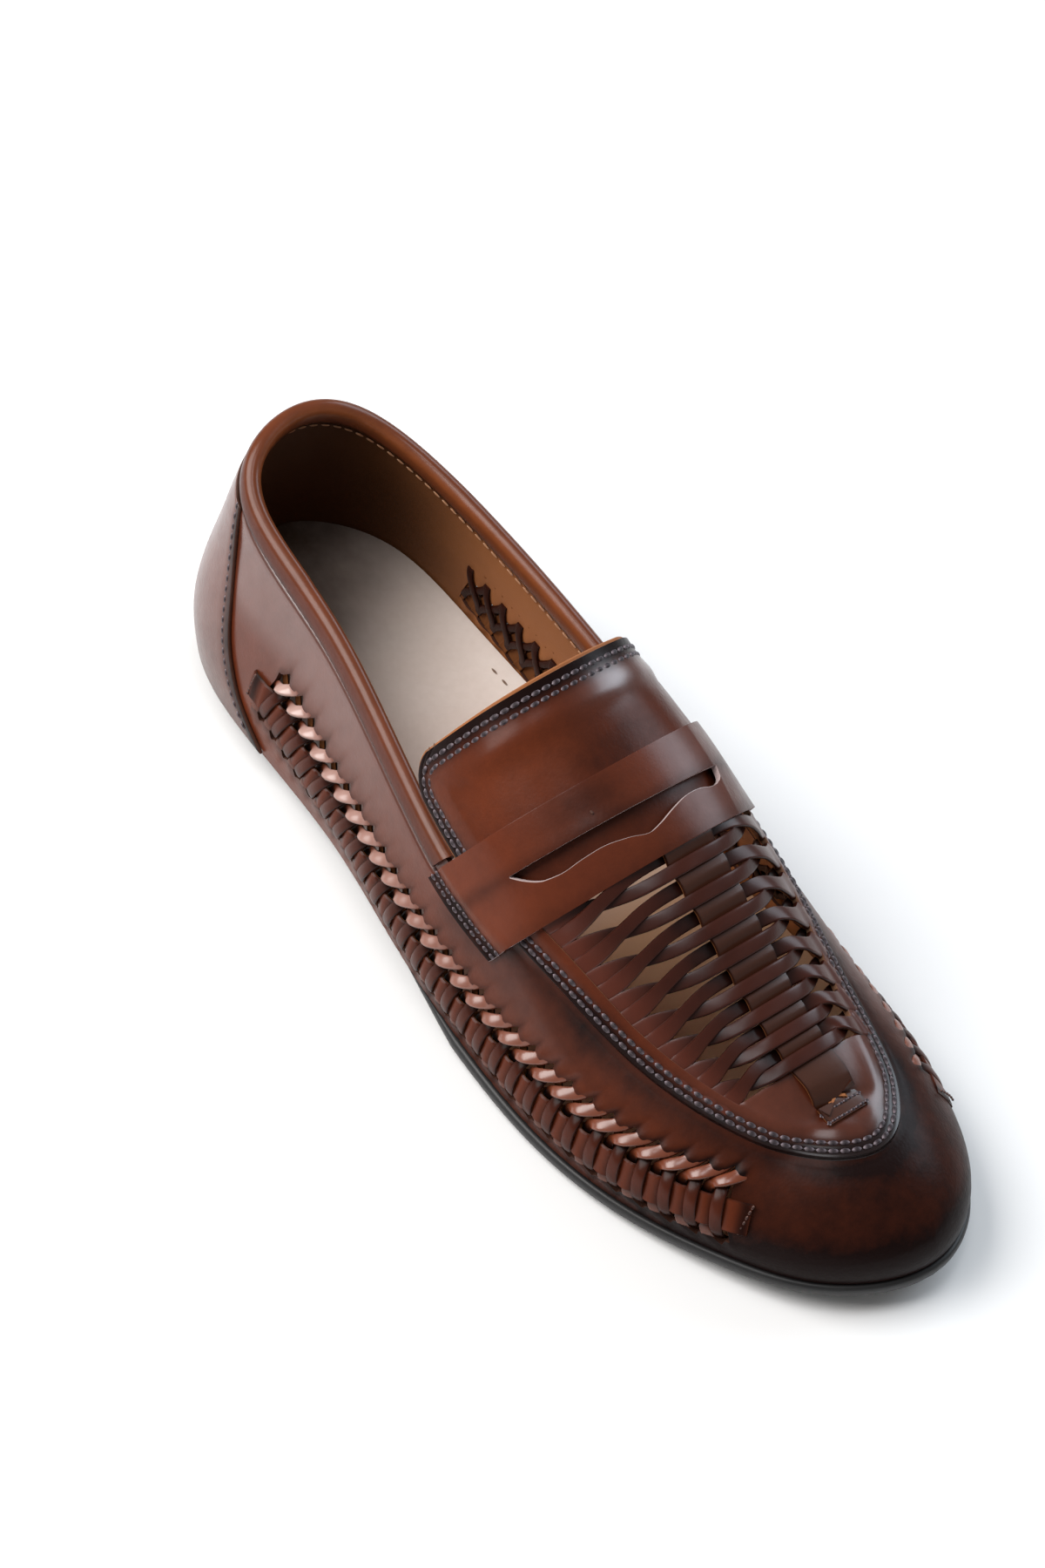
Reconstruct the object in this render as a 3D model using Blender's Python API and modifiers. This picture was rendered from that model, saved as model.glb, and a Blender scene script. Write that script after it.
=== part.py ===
"""Woven penny loafer for the right foot: rubber outsole, insole, plaited moccasin upper,
saddle strap, heel counter and collar binding, each a solid of its own on one last."""
import math

import bpy
import numpy as np

NAME = "woven_loafer"
MM = 0.001
ORIGIN = (142.55, -2.85)

# Leather, rubber and clearances, millimetres
GAP = 0.3
WALL = 1.8
STRAP_THICK = 1.6
COUNTER_THICK = 1.2
BINDING_THICK = 1.2
BINDING_DEPTH = 5.0
INSOLE_THICK = 3.0
INSOLE_INSET = {"heel": (30.0, 2.5), "ball": (200.0, 2.8), "toe": (265.0, 3.9)}
FOOTBED = {"heel": (30.0, 22.0), "seat": (58.0, 20.6), "waist": (92.0, 17.2), "instep": (128.0, 12.6),
           "ball": (170.0, 8.8)}
APRON_STEP = 1.2
APRON_RUN = 1.8

# Last sections from heel to toe, millimetres: lateral and medial are the half widths at the
# feather edge, topline is the collar height and then the height of the apron seam
COLUMNS = ("x", "lateral", "medial", "feather", "crest", "bulge", "lateral_flare", "medial_flare",
           "lean", "topline", "spine_y")
LAST = {
    "heel_back": (-1.6, 0.0, 0.0, 8.0, 116.0, 2.0, 0.0, 0.0, 0.0, 81.4, 0.0),
    "heel_corner": (4.4, 20.4, 17.0, 8.0, 116.0, 2.0, 0.0, 0.0, 0.0, 80.0, 0.0),
    "heel_side": (24.0, 34.2, 29.5, 8.0, 118.0, 2.0, -2.0, 0.5, 0.0, 73.0, 0.0),
    "heel_front": (55.0, 38.8, 31.8, 8.0, 120.0, 1.6, -4.0, 3.5, 0.2, 65.4, -2.0),
    "waist": (92.0, 41.2, 32.5, 7.6, 93.5, 1.8, 4.0, 7.6, 0.44, 56.8, -4.6),
    "instep": (128.0, 47.4, 37.5, 6.8, 78.7, 1.5, 5.0, 7.4, 0.45, 50.2, -4.4),
    "vamp": (163.0, 51.6, 45.8, 6.0, 64.5, 1.5, 1.0, 1.8, 0.45, 44.5, -2.6),
    "ball": (197.0, 52.5, 47.0, 5.6, 49.6, 1.8, 0.0, 0.0, 0.43, 38.8, -2.2),
    "toe_side": (228.0, 47.0, 45.7, 6.4, 41.5, 1.6, 0.0, 0.0, 0.27, 35.5, -0.2),
    "toe_corner": (254.0, 36.6, 40.4, 8.4, 37.4, 1.6, 0.0, 0.0, 0.05, 33.6, 2.2),
    "toe_quarter": (277.0, 21.0, 28.4, 10.6, 37.4, 1.6, 0.0, 0.0, 0.0, 34.6, 2.2),
    "toe_tip": (288.6, -5.5, 5.5, 12.0, 37.4, 1.6, 0.0, 0.0, 0.0, 35.0, 2.2),
}
WALL_ROUND = 0.92
HEEL_CENTRE = 34.0
TOE_CENTRE = 245.0
CENTRE_BLEND = 6.0
BULGE_HEIGHT = 34.0
FLARE_HEIGHT = 50.0

# Stations along the last, 0 at the heel back and 1 at the toe tip
TONGUE_END = 0.34
STRAP_REAR = 0.42
THROAT = 0.445
STRAP_FRONT = 0.505

# Plaited side bands: girth from the line of the tabs, and lift of the three edges in a unit
SIDE_UNITS = 28
SIDE_START = 75.6
SIDE_PITCH = 7.14
SIDE_MARGIN = 1.5
TAB_RISE = {"heel": (50.0, 29.0), "side": (73.0, 24.2), "waist": (113.0, 21.6), "vamp": (156.0, 19.4),
            "toe": (239.0, 20.4)}
SIDE_SPLIT = (0.0, 0.3, 0.65)
SIDE_ROWS = {
    "foot": (-12.5, (0.0, 0.0, 0.0)),
    "lace_low": (-9.0, (0.9, 0.2, 0.6)),
    "lace_high": (-2.0, (0.9, 0.0, 0.9)),
    "head": (4.0, (0.3, 0.5, 0.5)),
}
SKIRT_FOOT = 0.5
SKIRT_ROWS = (0.18, 0.42, 0.72, 1.0)

# Plaited apron: share of the way from the seam to the ridge, and lift of the three edges in a pair
APRON_PAIRS = 8
APRON_END_X = 224.0
APRON_MARGIN = 0.004
APRON_SPLIT = (0.0, 0.22, 0.61)
APRON_ROWS = {
    "edge": (0.0, (0.0, 0.0, 0.0)),
    "root": (0.2, (0.0, 0.0, 0.0)),
    "cross": (0.5, (0.0, 0.9, 0.5)),
    "lace_edge": (0.8, (0.9, -0.2, 0.3)),
}
RIDGE_LIFT = (0.9, -0.2, 0.3)

# Tongue behind the strap
TONGUE_CLEAR = 4.2
TONGUE_CORNER = 11.0

# Columns round the skirt and along the apron
HEEL_COLUMNS = 12
TOE_COLUMNS = 7
TONGUE_COLUMNS = 6
PLAIN_COLUMNS = 4
CAP_COLUMNS = 6

# Saddle strap: rows are its two edges and the two lips of the slot
STRAP_COLUMNS = 28
STRAP_PAST_SEAM = 8.0
SLOT_ENDS = (-0.6, 0.45)
SLOT_REAR = 0.455
SLOT_FRONT = 0.645
SLOT_WAVE = {"crest": 0.1, "place": -0.05, "width": 0.14}
STRAP_LIFT = {"ridge": (4.0, 1.65), "seam": (0.5, 1.5), "skirt": (-3.0, 0.4)}

# Heel counter: station of its front edge from the feather to the collar
COUNTER_EDGE = {"feather": (0.0, 0.275), "heel": (0.15, 0.225), "waist": (0.35, 0.19), "neck": (0.7, 0.16),
                "collar": (1.0, 0.13)}
COUNTER_FOOT = 1.2
COUNTER_TOP = 7.0
COUNTER_COLUMNS = 28
COUNTER_GAP = 0.55

# Outsole: side profile as outset from the feather, depth below it and tuck under the waist and heel
SOLE_SIDE = {"top": (0.6, 0.45, 1.2), "rand": (1.5, 1.7, 3.0), "lip": (1.3, 3.8, 4.1), "step": (0.4, 4.2, 3.7)}
TREAD_EDGE = (0.0, 5.0)
TUCK_X = {"waist": (125.0, 1.0), "joint": (160.0, 0.0)}
TREAD = {"seat": (70.0, 0.0), "breast": (74.0, 2.6), "arch": (96.0, 2.4), "shank": (128.0, 1.2),
         "joint": (160.0, 0.0), "roll": (212.0, 0.0), "spring": (240.0, 1.6), "nose": (270.0, 4.9),
         "tip": (288.6, 7.2)}
SOLE_COLUMNS = 42

LEATHER = (0.155, 0.058, 0.034)
DARK_LEATHER = (0.11, 0.042, 0.027)
INSOLE_TAN = (0.62, 0.47, 0.33)
RUBBER = (0.012, 0.012, 0.012)


def clear_scene():
    for item in list(bpy.data.objects):
        bpy.data.objects.remove(item, do_unlink=True)


# Last

def section_knots():
    rows = np.array(list(LAST.values()))
    half = (rows[:, 1] + rows[:, 2]) / 2.0
    steps = np.hypot(np.diff(rows[:, 0]), np.diff(half)) ** 0.5
    knots = np.concatenate([[0.0], np.cumsum(steps)])
    return knots / knots[-1]


def closed_spline(knots, values):
    """Smooth closed curve through the rows of values, one turn for every 2 of the parameter."""
    count = len(values)
    knots = np.concatenate([knots, 2.0 - knots[-2::-1]])
    span = np.diff(knots)
    matrix = np.zeros((count, count))
    right = np.zeros_like(values)
    for i in range(count):
        before = (i - 1) % count
        after = (i + 1) % count
        matrix[i, before] += span[before]
        matrix[i, i] += 2.0 * (span[before] + span[i])
        matrix[i, after] += span[i]
        rise = (values[after] - values[i]) / span[i]
        right[i] = 6.0 * (rise - (values[i] - values[before]) / span[before])
    bend = np.linalg.solve(matrix, right)

    def curve(u):
        u = np.mod(u, 2.0)
        i = np.clip(np.searchsorted(knots, u, side="right") - 1, 0, count - 1)
        j = (i + 1) % count
        width = span[i][:, None]
        ahead = (knots[i + 1] - u)[:, None]
        behind = (u - knots[i])[:, None]
        bent = (bend[i] * ahead ** 3 + bend[j] * behind ** 3) / (6.0 * width)
        start = (values[i] / width - bend[i] * width / 6.0) * ahead
        end = (values[j] / width - bend[j] * width / 6.0) * behind
        return bent + start + end

    return curve


def last_curve():
    rows = {name: np.array(column) for name, column in zip(COLUMNS, zip(*LAST.values()))}
    shared = [rows[name] for name in ("feather", "crest", "bulge", "lean", "topline", "spine_y")]
    lateral = np.stack([rows["x"], -rows["lateral"], rows["lateral_flare"]] + shared, axis=1)
    medial = np.stack([rows["x"], rows["medial"], rows["medial_flare"]] + shared, axis=1)
    return closed_spline(section_knots(), np.concatenate([lateral, medial[-2:0:-1]]))


SECTION = last_curve()


def spine_x(x):
    low = HEEL_CENTRE + CENTRE_BLEND * np.logaddexp(0.0, (x - HEEL_CENTRE) / CENTRE_BLEND)
    return TOE_CENTRE - CENTRE_BLEND * np.logaddexp(0.0, (TOE_CENTRE - low) / CENTRE_BLEND)


def skin(u, rise, outset=0.0):
    """Points on the last: u runs round the feather edge, rise from the feather (0) to the ridge (1)."""
    u, rise = np.broadcast_arrays(np.asarray(u, float), np.asarray(rise, float))
    x, y, flare, feather, crest, bulge, lean, topline, ridge_y = SECTION(u.ravel()).T
    angle = rise.ravel() * math.pi / 2.0
    height = np.sin(angle)
    inward = np.clip(np.cos(angle), 0.0, 1.0) ** WALL_ROUND
    depth = crest - feather
    up = depth * height
    swell = np.minimum(BULGE_HEIGHT / depth, 0.9)
    ridge_x = spine_x(x)
    reach = np.hypot(x - ridge_x, y - ridge_y) + 1e-9
    along = height / swell
    fading = np.cos(math.pi / 2.0 * np.clip(along - 0.5, 0.0, 1.0)) ** 2
    added = bulge * np.where(along < 0.5, np.sin(math.pi * np.minimum(along, 0.5)), fading)
    added += flare * np.clip(up / FLARE_HEIGHT, 0.0, 1.2)
    added *= np.clip(inward / 0.4, 0.0, 1.0)
    share = (inward * reach + added + outset) / reach
    points = np.stack([ridge_x + (x - ridge_x) * share + lean * up,
                       ridge_y + (y - ridge_y) * share,
                       feather + up], axis=1)
    return points.reshape(u.shape + (3,))


def unit(vectors):
    return vectors / np.maximum(np.linalg.norm(vectors, axis=-1, keepdims=True), 1e-12)


def skin_normal(u, rise):
    u, rise = np.broadcast_arrays(np.asarray(u, float), np.asarray(rise, float))
    step = 0.002
    safe = np.clip(rise, 0.004, 0.965)

    def facing(station):
        along = skin(station + step, safe) - skin(station - step, safe)
        upward = skin(station, safe + step) - skin(station, safe - step)
        return unit(np.cross(along, upward))

    here = facing(u)
    across = facing(2.0 - u)
    blend = np.clip((rise - 0.9) / 0.1, 0.0, 1.0)[..., None] * 0.5
    return unit(here * (1.0 - blend) + across * blend)


def lifted(u, rise, lift):
    return skin(u, rise) + skin_normal(u, rise) * np.asarray(lift, float)[..., None]


GIRTH_STEPS = np.linspace(0.0, 1.0, 81)


def girth_lengths(u):
    points = skin(np.asarray(u, float)[:, None], GIRTH_STEPS[None, :])
    steps = np.linalg.norm(np.diff(points, axis=1), axis=2)
    return np.concatenate([np.zeros((len(u), 1)), np.cumsum(steps, axis=1)], axis=1)


def rise_at(u, girth):
    """Rise of the point at a girth in millimetres above the feather edge."""
    u = np.asarray(u, float)
    girth = np.broadcast_to(girth, u.shape)
    lengths = girth_lengths(u)
    return np.array([np.interp(g, row, GIRTH_STEPS) for g, row in zip(girth, lengths)])


def girth_at(u, rise):
    u = np.asarray(u, float)
    rise = np.broadcast_to(rise, u.shape)
    return np.array([np.interp(r, GIRTH_STEPS, row) for r, row in zip(rise, girth_lengths(u))])


def rise_of_height(u, z):
    """Rise of the point at a height z in millimetres above the floor."""
    rows = SECTION(np.asarray(u, float))
    share = (z - rows[:, 3]) / (rows[:, 4] - rows[:, 3])
    return np.arcsin(np.clip(share, 0.0, 0.985)) * 2.0 / math.pi


def side_station(u):
    """Station from heel to toe, the same number on both sides."""
    u = np.mod(np.asarray(u, float), 2.0)
    return np.where(u > 1.0, 2.0 - u, u)


def topline_girth(u):
    return girth_at(u, rise_of_height(u, SECTION(np.asarray(u, float))[:, 7]))


def ridge_girth(u):
    return girth_lengths(np.asarray(u, float))[:, -1]


def tab_girth(u):
    rows = SECTION(np.asarray(u, float))
    up = np.interp(rows[:, 0], *np.array(list(TAB_RISE.values())).T)
    return girth_at(u, rise_of_height(u, rows[:, 3] + up))


def tab_arc():
    stations = np.linspace(0.0, 1.0, 401)
    points = skin(stations, rise_at(stations, tab_girth(stations)))
    arc = np.concatenate([[0.0], np.cumsum(np.linalg.norm(np.diff(points, axis=0), axis=1))])
    return arc, stations


ARC, ARC_STATIONS = tab_arc()
STATION_GRID = np.linspace(0.0, 1.0, 801)
STATION_X = SECTION(STATION_GRID)[:, 0]


def at_arc(length):
    return np.interp(length, ARC, ARC_STATIONS)


def at_x(x):
    return np.interp(x, STATION_X, STATION_GRID)


def spread(first, last, count):
    """Stations evenly apart along the side, both ends kept."""
    ends = np.interp((first, last), ARC_STATIONS, ARC)
    return at_arc(np.linspace(ends[0], ends[1], count + 1))


def both_sides(stations):
    """Stations out along the lateral side and back along the medial side."""
    stations = np.asarray(stations)
    back = 2.0 - stations[::-1]
    if stations[-1] > 0.9999:
        back = back[1:]
    return np.concatenate([stations, back])


# Meshes

class Sheet:
    """Open surface put together from rings of points."""

    def __init__(self):
        self.points = []
        self.faces = []

    def ring(self, points):
        first = len(self.points)
        self.points.extend(tuple(p) for p in points)
        return list(range(first, len(self.points)))

    def face(self, *corners):
        kept = []
        for corner in corners:
            if corner not in kept:
                kept.append(corner)
        if len(kept) > 2:
            self.faces.append(tuple(kept))

    def band(self, low, high, skip=()):
        for j in range(len(low) - 1):
            if j not in skip:
                self.face(low[j], low[j + 1], high[j + 1], high[j])

    def zip(self, low, low_u, high, high_u):
        """Joins two chains of unlike counts by their stations."""
        i = 0
        j = 0
        while i < len(low) - 1 or j < len(high) - 1:
            next_low = low_u[i + 1] if i < len(low) - 1 else math.inf
            next_high = high_u[j + 1] if j < len(high) - 1 else math.inf
            if abs(next_low - next_high) < 1e-7:
                self.face(low[i], low[i + 1], high[j + 1], high[j])
                i += 1
                j += 1
            elif next_low < next_high:
                self.face(low[i], low[i + 1], high[j])
                i += 1
            else:
                self.face(low[i], high[j + 1], high[j])
                j += 1


def leather(name, colour, roughness):
    material = bpy.data.materials.new(name)
    material.use_nodes = True
    shader = material.node_tree.nodes["Principled BSDF"]
    shader.inputs["Base Color"].default_value = (*colour, 1.0)
    shader.inputs["Roughness"].default_value = roughness
    return material


def add_object(name, points, faces, material, collection):
    mesh = bpy.data.meshes.new(name)
    placed = (np.array(points) - (ORIGIN[0], ORIGIN[1], 0.0)) * MM
    mesh.from_pydata(placed.tolist(), [], faces)
    mesh.validate()
    mesh.materials.append(material)
    item = bpy.data.objects.new(name, mesh)
    collection.objects.link(item)
    return item


def thicken(item, thickness, offset):
    shell = item.modifiers.new("wall", "SOLIDIFY")
    shell.thickness = thickness * MM
    shell.offset = offset
    shell.use_even_offset = False
    shell.use_rim = True


def closed(ring):
    return ring + ring[:1]


# Upper

def side_columns():
    heel = spread(0.0, at_arc(SIDE_START - SIDE_MARGIN), HEEL_COLUMNS)
    weave = at_arc(SIDE_START + SIDE_PITCH * np.arange(SIDE_UNITS + 1))
    toe = spread(weave[-1], 1.0, TOE_COLUMNS)
    coarse = np.concatenate([heel, weave, toe[1:]])
    fine = list(heel)
    kinds = [-1] * len(heel)
    for i in range(SIDE_UNITS):
        for k, share in enumerate(SIDE_SPLIT):
            fine.append(at_arc(SIDE_START + SIDE_PITCH * (i + share)))
            kinds.append(k)
    fine.extend(toe)
    kinds.extend([-1] * len(toe))
    return coarse, np.array(fine), kinds


def skirt_girths(u):
    """Girths of the rows of the skirt, from the feather edge to the topline."""
    tabs = tab_girth(u)
    band = [tabs + girth for girth, lifts in SIDE_ROWS.values()]
    rows = [np.zeros(len(tabs)), band[0] * SKIRT_FOOT] + band
    top = topline_girth(u)
    rows.extend(rows[-1] + (top - rows[-1]) * share for share in SKIRT_ROWS)
    return np.array(rows)


def build_upper(collection, material):
    sheet = Sheet()
    coarse, fine, kinds = side_columns()
    coarse_u = both_sides(coarse)[:-1]
    fine_u = both_sides(fine)[:-1]
    fine_kinds = kinds + kinds[-2:0:-1]
    coarse_loop = np.append(coarse_u, 2.0)
    fine_loop = np.append(fine_u, 2.0)

    below = [closed(sheet.ring(skin(coarse_u, rise_at(coarse_u, girth)))) for girth in skirt_girths(coarse_u)[:2]]
    sheet.band(below[0], below[1])
    girths = skirt_girths(fine_u)
    rows = {}
    for girth, (name, (from_tab, lifts)) in zip(girths[2:], SIDE_ROWS.items()):
        lift = np.array([lifts[k] if k >= 0 else 0.0 for k in fine_kinds])
        rows[name] = closed(sheet.ring(lifted(fine_u, rise_at(fine_u, girth), lift)))
    sheet.zip(below[1], coarse_loop, rows["foot"], fine_loop)
    sheet.band(rows["foot"], rows["lace_low"])
    sheet.band(rows["lace_low"], rows["lace_high"])
    loop_kinds = fine_kinds + fine_kinds[:1]
    gaps = set()
    for j in range(len(fine_u)):
        ends = (loop_kinds[j], loop_kinds[j + 1])
        if ends == (0, 1) or ends == (1, 0):
            gaps.add(j)
    sheet.band(rows["lace_high"], rows["head"], gaps)

    above = [closed(sheet.ring(skin(coarse_u, rise_at(coarse_u, girth))))
             for girth in skirt_girths(coarse_u)[len(SIDE_ROWS) + 2:]]
    sheet.zip(rows["head"], fine_loop, above[0], coarse_loop)
    for low, high in zip(above, above[1:]):
        sheet.band(low, high)
    add_apron(sheet, above[-1], coarse_loop)
    upper = add_object("upper", sheet.points, sheet.faces, material, collection)
    thicken(upper, WALL, -1.0)
    return upper


def apron_columns(coarse_loop):
    front = float(coarse_loop[np.searchsorted(coarse_loop, THROAT)])
    tongue = spread(TONGUE_END, front, TONGUE_COLUMNS)
    plain = spread(front, STRAP_FRONT + APRON_MARGIN, PLAIN_COLUMNS)
    end = float(at_x(APRON_END_X))
    stations = list(tongue[:-1]) + list(plain)
    kinds = [-1] * len(stations)
    ends = np.interp((STRAP_FRONT + 2.0 * APRON_MARGIN, end), ARC_STATIONS, ARC)
    pitch = (ends[1] - ends[0]) / APRON_PAIRS
    for i in range(APRON_PAIRS):
        for k, share in enumerate(APRON_SPLIT):
            stations.append(float(at_arc(ends[0] + pitch * (i + share))))
            kinds.append(k)
    cap = spread(end, 1.0, CAP_COLUMNS)
    stations.extend(cap)
    kinds.extend([-1] * len(cap))
    return np.array(stations), kinds, front, len(stations) - len(cap)


def apron_edge(stations, front):
    """Girth past the topline at which the apron or the tongue begins."""
    back = np.interp(stations, ARC_STATIONS, ARC) - np.interp(TONGUE_END, ARC_STATIONS, ARC)
    clear = np.interp(stations, (STRAP_REAR, front), (TONGUE_CLEAR, APRON_RUN))
    inside = np.clip(TONGUE_CORNER - back, 0.0, TONGUE_CORNER)
    return clear + TONGUE_CORNER - np.sqrt(TONGUE_CORNER ** 2 - inside ** 2 * 0.96)


def add_apron(sheet, seam, coarse_loop):
    stations, kinds, front, cap_from = apron_columns(coarse_loop)
    u = both_sides(stations)
    kind_loop = kinds + kinds[-2::-1]
    count = len(stations)
    begin = topline_girth(u) + apron_edge(side_station(u), front)
    ridge = ridge_girth(u)
    rows = []
    for share, lifts in APRON_ROWS.values():
        lift = np.array([lifts[k] if k >= 0 else 0.0 for k in kind_loop]) + APRON_STEP
        rows.append(sheet.ring(lifted(u, rise_at(u, begin + (ridge - begin) * share), lift)))

    ridge_lift = np.array([RIDGE_LIFT[k] if k >= 0 else 0.0 for k in kinds]) + APRON_STEP
    middle = lifted(stations, np.ones(count), ridge_lift)
    centre = middle[cap_from + 1:].mean(axis=0)
    top = sheet.ring(np.concatenate([middle[:cap_from + 1], centre[None]]))
    half = [min(j, cap_from + 1) for j in range(count)]
    crest = [top[j] for j in half] + [top[j] for j in half[-2::-1]]

    gaps = set()
    for j in range(len(u) - 1):
        ends = (kind_loop[j], kind_loop[j + 1])
        if ends == (0, 1) or ends == (1, 0):
            gaps.add(j)
    sheet.band(rows[0], rows[1])
    sheet.band(rows[1], rows[2], gaps)
    sheet.band(rows[2], rows[3], gaps)
    sheet.band(rows[3], crest)

    inside = [j for j in range(len(u)) if side_station(u[j]) >= front - 1e-9]
    lower = [j for j in range(len(coarse_loop)) if side_station(coarse_loop[j]) >= front - 1e-9]
    sheet.zip([seam[j] for j in lower], [coarse_loop[j] for j in lower],
              [rows[0][j] for j in inside], [u[j] for j in inside])


# Saddle strap

def build_strap(collection, material):
    sheet = Sheet()
    across = np.linspace(-1.0, 1.0, STRAP_COLUMNS + 1)
    slot_start, slot_end = SLOT_ENDS
    lips = (across > slot_start) & (across < slot_end)
    from_middle = (2.0 * across - slot_start - slot_end) / (slot_end - slot_start)
    opened = np.clip(1.0 - from_middle ** 4, 0.0, 1.0) ** 0.5
    wave = SLOT_WAVE["crest"] * np.exp(-((across - SLOT_WAVE["place"]) / SLOT_WAVE["width"]) ** 2)
    front_lip = SLOT_REAR + (SLOT_FRONT - SLOT_REAR) * np.maximum(opened, 0.35) + wave * lips
    spans = (np.zeros_like(across), np.full_like(across, SLOT_REAR), front_lip, np.ones_like(across))
    depths = np.array([depth for depth, lift in STRAP_LIFT.values()])
    lifts = np.array([lift for depth, lift in STRAP_LIFT.values()])
    order = np.argsort(depths)
    rows = []
    for span in spans:
        station = STRAP_REAR + (STRAP_FRONT - STRAP_REAR) * span
        u = np.where(across < 0.0, station, 2.0 - station)
        seam = topline_girth(u)
        start = seam - STRAP_PAST_SEAM
        girth = start + (ridge_girth(u) - start) * (1.0 - np.abs(across))
        lift = np.interp(girth - seam, depths[order], lifts[order])
        rows.append(sheet.ring(lifted(u, rise_at(u, girth), lift)))
    slot = {j for j in range(STRAP_COLUMNS) if lips[j] and lips[j + 1]}
    for k in range(3):
        for j in range(STRAP_COLUMNS):
            if k != 1 or j not in slot:
                sheet.face(rows[k][j], rows[k + 1][j], rows[k + 1][j + 1], rows[k][j + 1])
    strap = add_object("saddle_strap", sheet.points, sheet.faces, material, collection)
    thicken(strap, STRAP_THICK, 1.0)
    return strap


# Heel counter

def build_counter(collection, material):
    sheet = Sheet()
    shares = np.array([share for share, edge in COUNTER_EDGE.values()])
    edges = np.array([edge for share, edge in COUNTER_EDGE.values()])
    across = np.linspace(-1.0, 1.0, COUNTER_COLUMNS + 1)
    back = skirt_girths(np.zeros(1))[:, 0]
    levels = np.clip(back / back[-1], COUNTER_FOOT / back[-1], 1.0 - COUNTER_TOP / back[-1])
    below = None
    for k, level in enumerate(levels):
        u = np.mod(across * np.interp(level, shares, edges), 2.0)
        girth = np.clip(skirt_girths(u)[k], COUNTER_FOOT, topline_girth(u) - COUNTER_TOP)
        ring = sheet.ring(lifted(u, rise_at(u, girth), np.full(len(u), COUNTER_GAP)))
        if below:
            sheet.band(below, ring)
        below = ring
    counter = add_object("heel_counter", sheet.points, sheet.faces, material, collection)
    thicken(counter, COUNTER_THICK, 1.0)
    return counter


# Collar binding

def build_binding(collection, material):
    coarse = side_columns()[0]
    inside = coarse[coarse < STRAP_REAR - 0.012]
    stations = np.append(inside, STRAP_REAR - 0.006)
    u = np.concatenate([stations[::-1], 2.0 - stations[1:]])
    top = topline_girth(u)
    edge_rise = rise_at(u, top)
    edge = skin(u, edge_rise)
    out = skin_normal(u, edge_rise)
    low_rise = rise_at(u, top - BINDING_DEPTH)
    low = skin(u, low_rise)
    low_out = skin_normal(u, low_rise)
    up = unit(edge - low)
    near = GAP + 0.05
    far = near + BINDING_THICK
    inner_near = -(WALL + near)
    inner_far = -(WALL + far)
    middle = -WALL / 2.0
    ring_points = [
        low + low_out * far, edge + out * far + up * 0.6, edge + out * (far - 0.6) + up * 1.5,
        edge + out * middle + up * 2.0, edge + out * (inner_far + 0.6) + up * 1.5,
        edge + out * inner_far + up * 0.6, low + low_out * inner_far,
        low + low_out * inner_near, edge + out * inner_near + up * near,
        edge + out * near + up * near, low + low_out * near,
    ]
    count = len(u)
    points = np.concatenate(ring_points)
    size = len(ring_points)
    faces = []
    for k in range(size):
        a = k * count
        b = (k + 1) % size * count
        for j in range(count - 1):
            faces.append((a + j, b + j, b + j + 1, a + j + 1))
    for j in (0, count - 1):
        cap = [k * count + j for k in range(size)]
        quads = [(cap[0], cap[1], cap[9], cap[10]), (cap[1], cap[2], cap[9]),
                 (cap[2], cap[3], cap[9]), (cap[3], cap[8], cap[9]), (cap[3], cap[4], cap[8]),
                 (cap[4], cap[5], cap[8]), (cap[5], cap[6], cap[7], cap[8])]
        faces.extend(q if j else q[::-1] for q in quads)
    return add_object("collar_binding", points, faces, material, collection)


# Insole and outsole

def across_rows(sheet, ring, stations):
    """Closes a ring of paired stations with faces straight across."""
    last = len(stations) - 1
    total = 2 * last
    for j in range(last):
        self_side = (ring[j], ring[j + 1])
        other = (ring[(total - j - 1) % total], ring[(total - j) % total])
        sheet.face(self_side[0], self_side[1], other[0], other[1])


def sole_stations():
    breast = [float(at_x(TREAD[name][0])) for name in ("seat", "breast")]
    even = spread(0.0, 1.0, SOLE_COLUMNS)
    apart = np.min(np.abs(even[:, None] - np.array(breast)[None, :]), axis=1)
    kept = [float(s) for s, d in zip(even, apart) if d > 0.008]
    return np.array(sorted(kept + breast))


def feather_points(u, outset, z):
    points = skin(u, 0.0, outset)
    points[:, 2] = z
    return points


def close_block(sheet, low, high, stations):
    """Flat bottom and top of a block whose sides are already there."""
    across_rows(sheet, high, stations)
    bottom = Sheet()
    across_rows(bottom, low, stations)
    sheet.faces.extend(f[::-1] for f in bottom.faces)


def build_insole(collection, material):
    sheet = Sheet()
    stations = sole_stations()
    u = both_sides(stations)[:-1]
    rows = SECTION(u)
    inset = np.interp(rows[:, 0], *np.array(list(INSOLE_INSET.values())).T)
    footbed = np.interp(rows[:, 0], *np.array(list(FOOTBED.values())).T)
    footbed = np.maximum(footbed, rows[:, 3] + INSOLE_THICK)
    top = lifted(u, rise_of_height(u, footbed), -inset)
    top[:, 2] = footbed
    low = sheet.ring(feather_points(u, -inset, rows[:, 3]))
    high = sheet.ring(top)
    sheet.band(closed(low), closed(high))
    close_block(sheet, low, high, stations)
    return add_object("insole", sheet.points, sheet.faces, material, collection)


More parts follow.
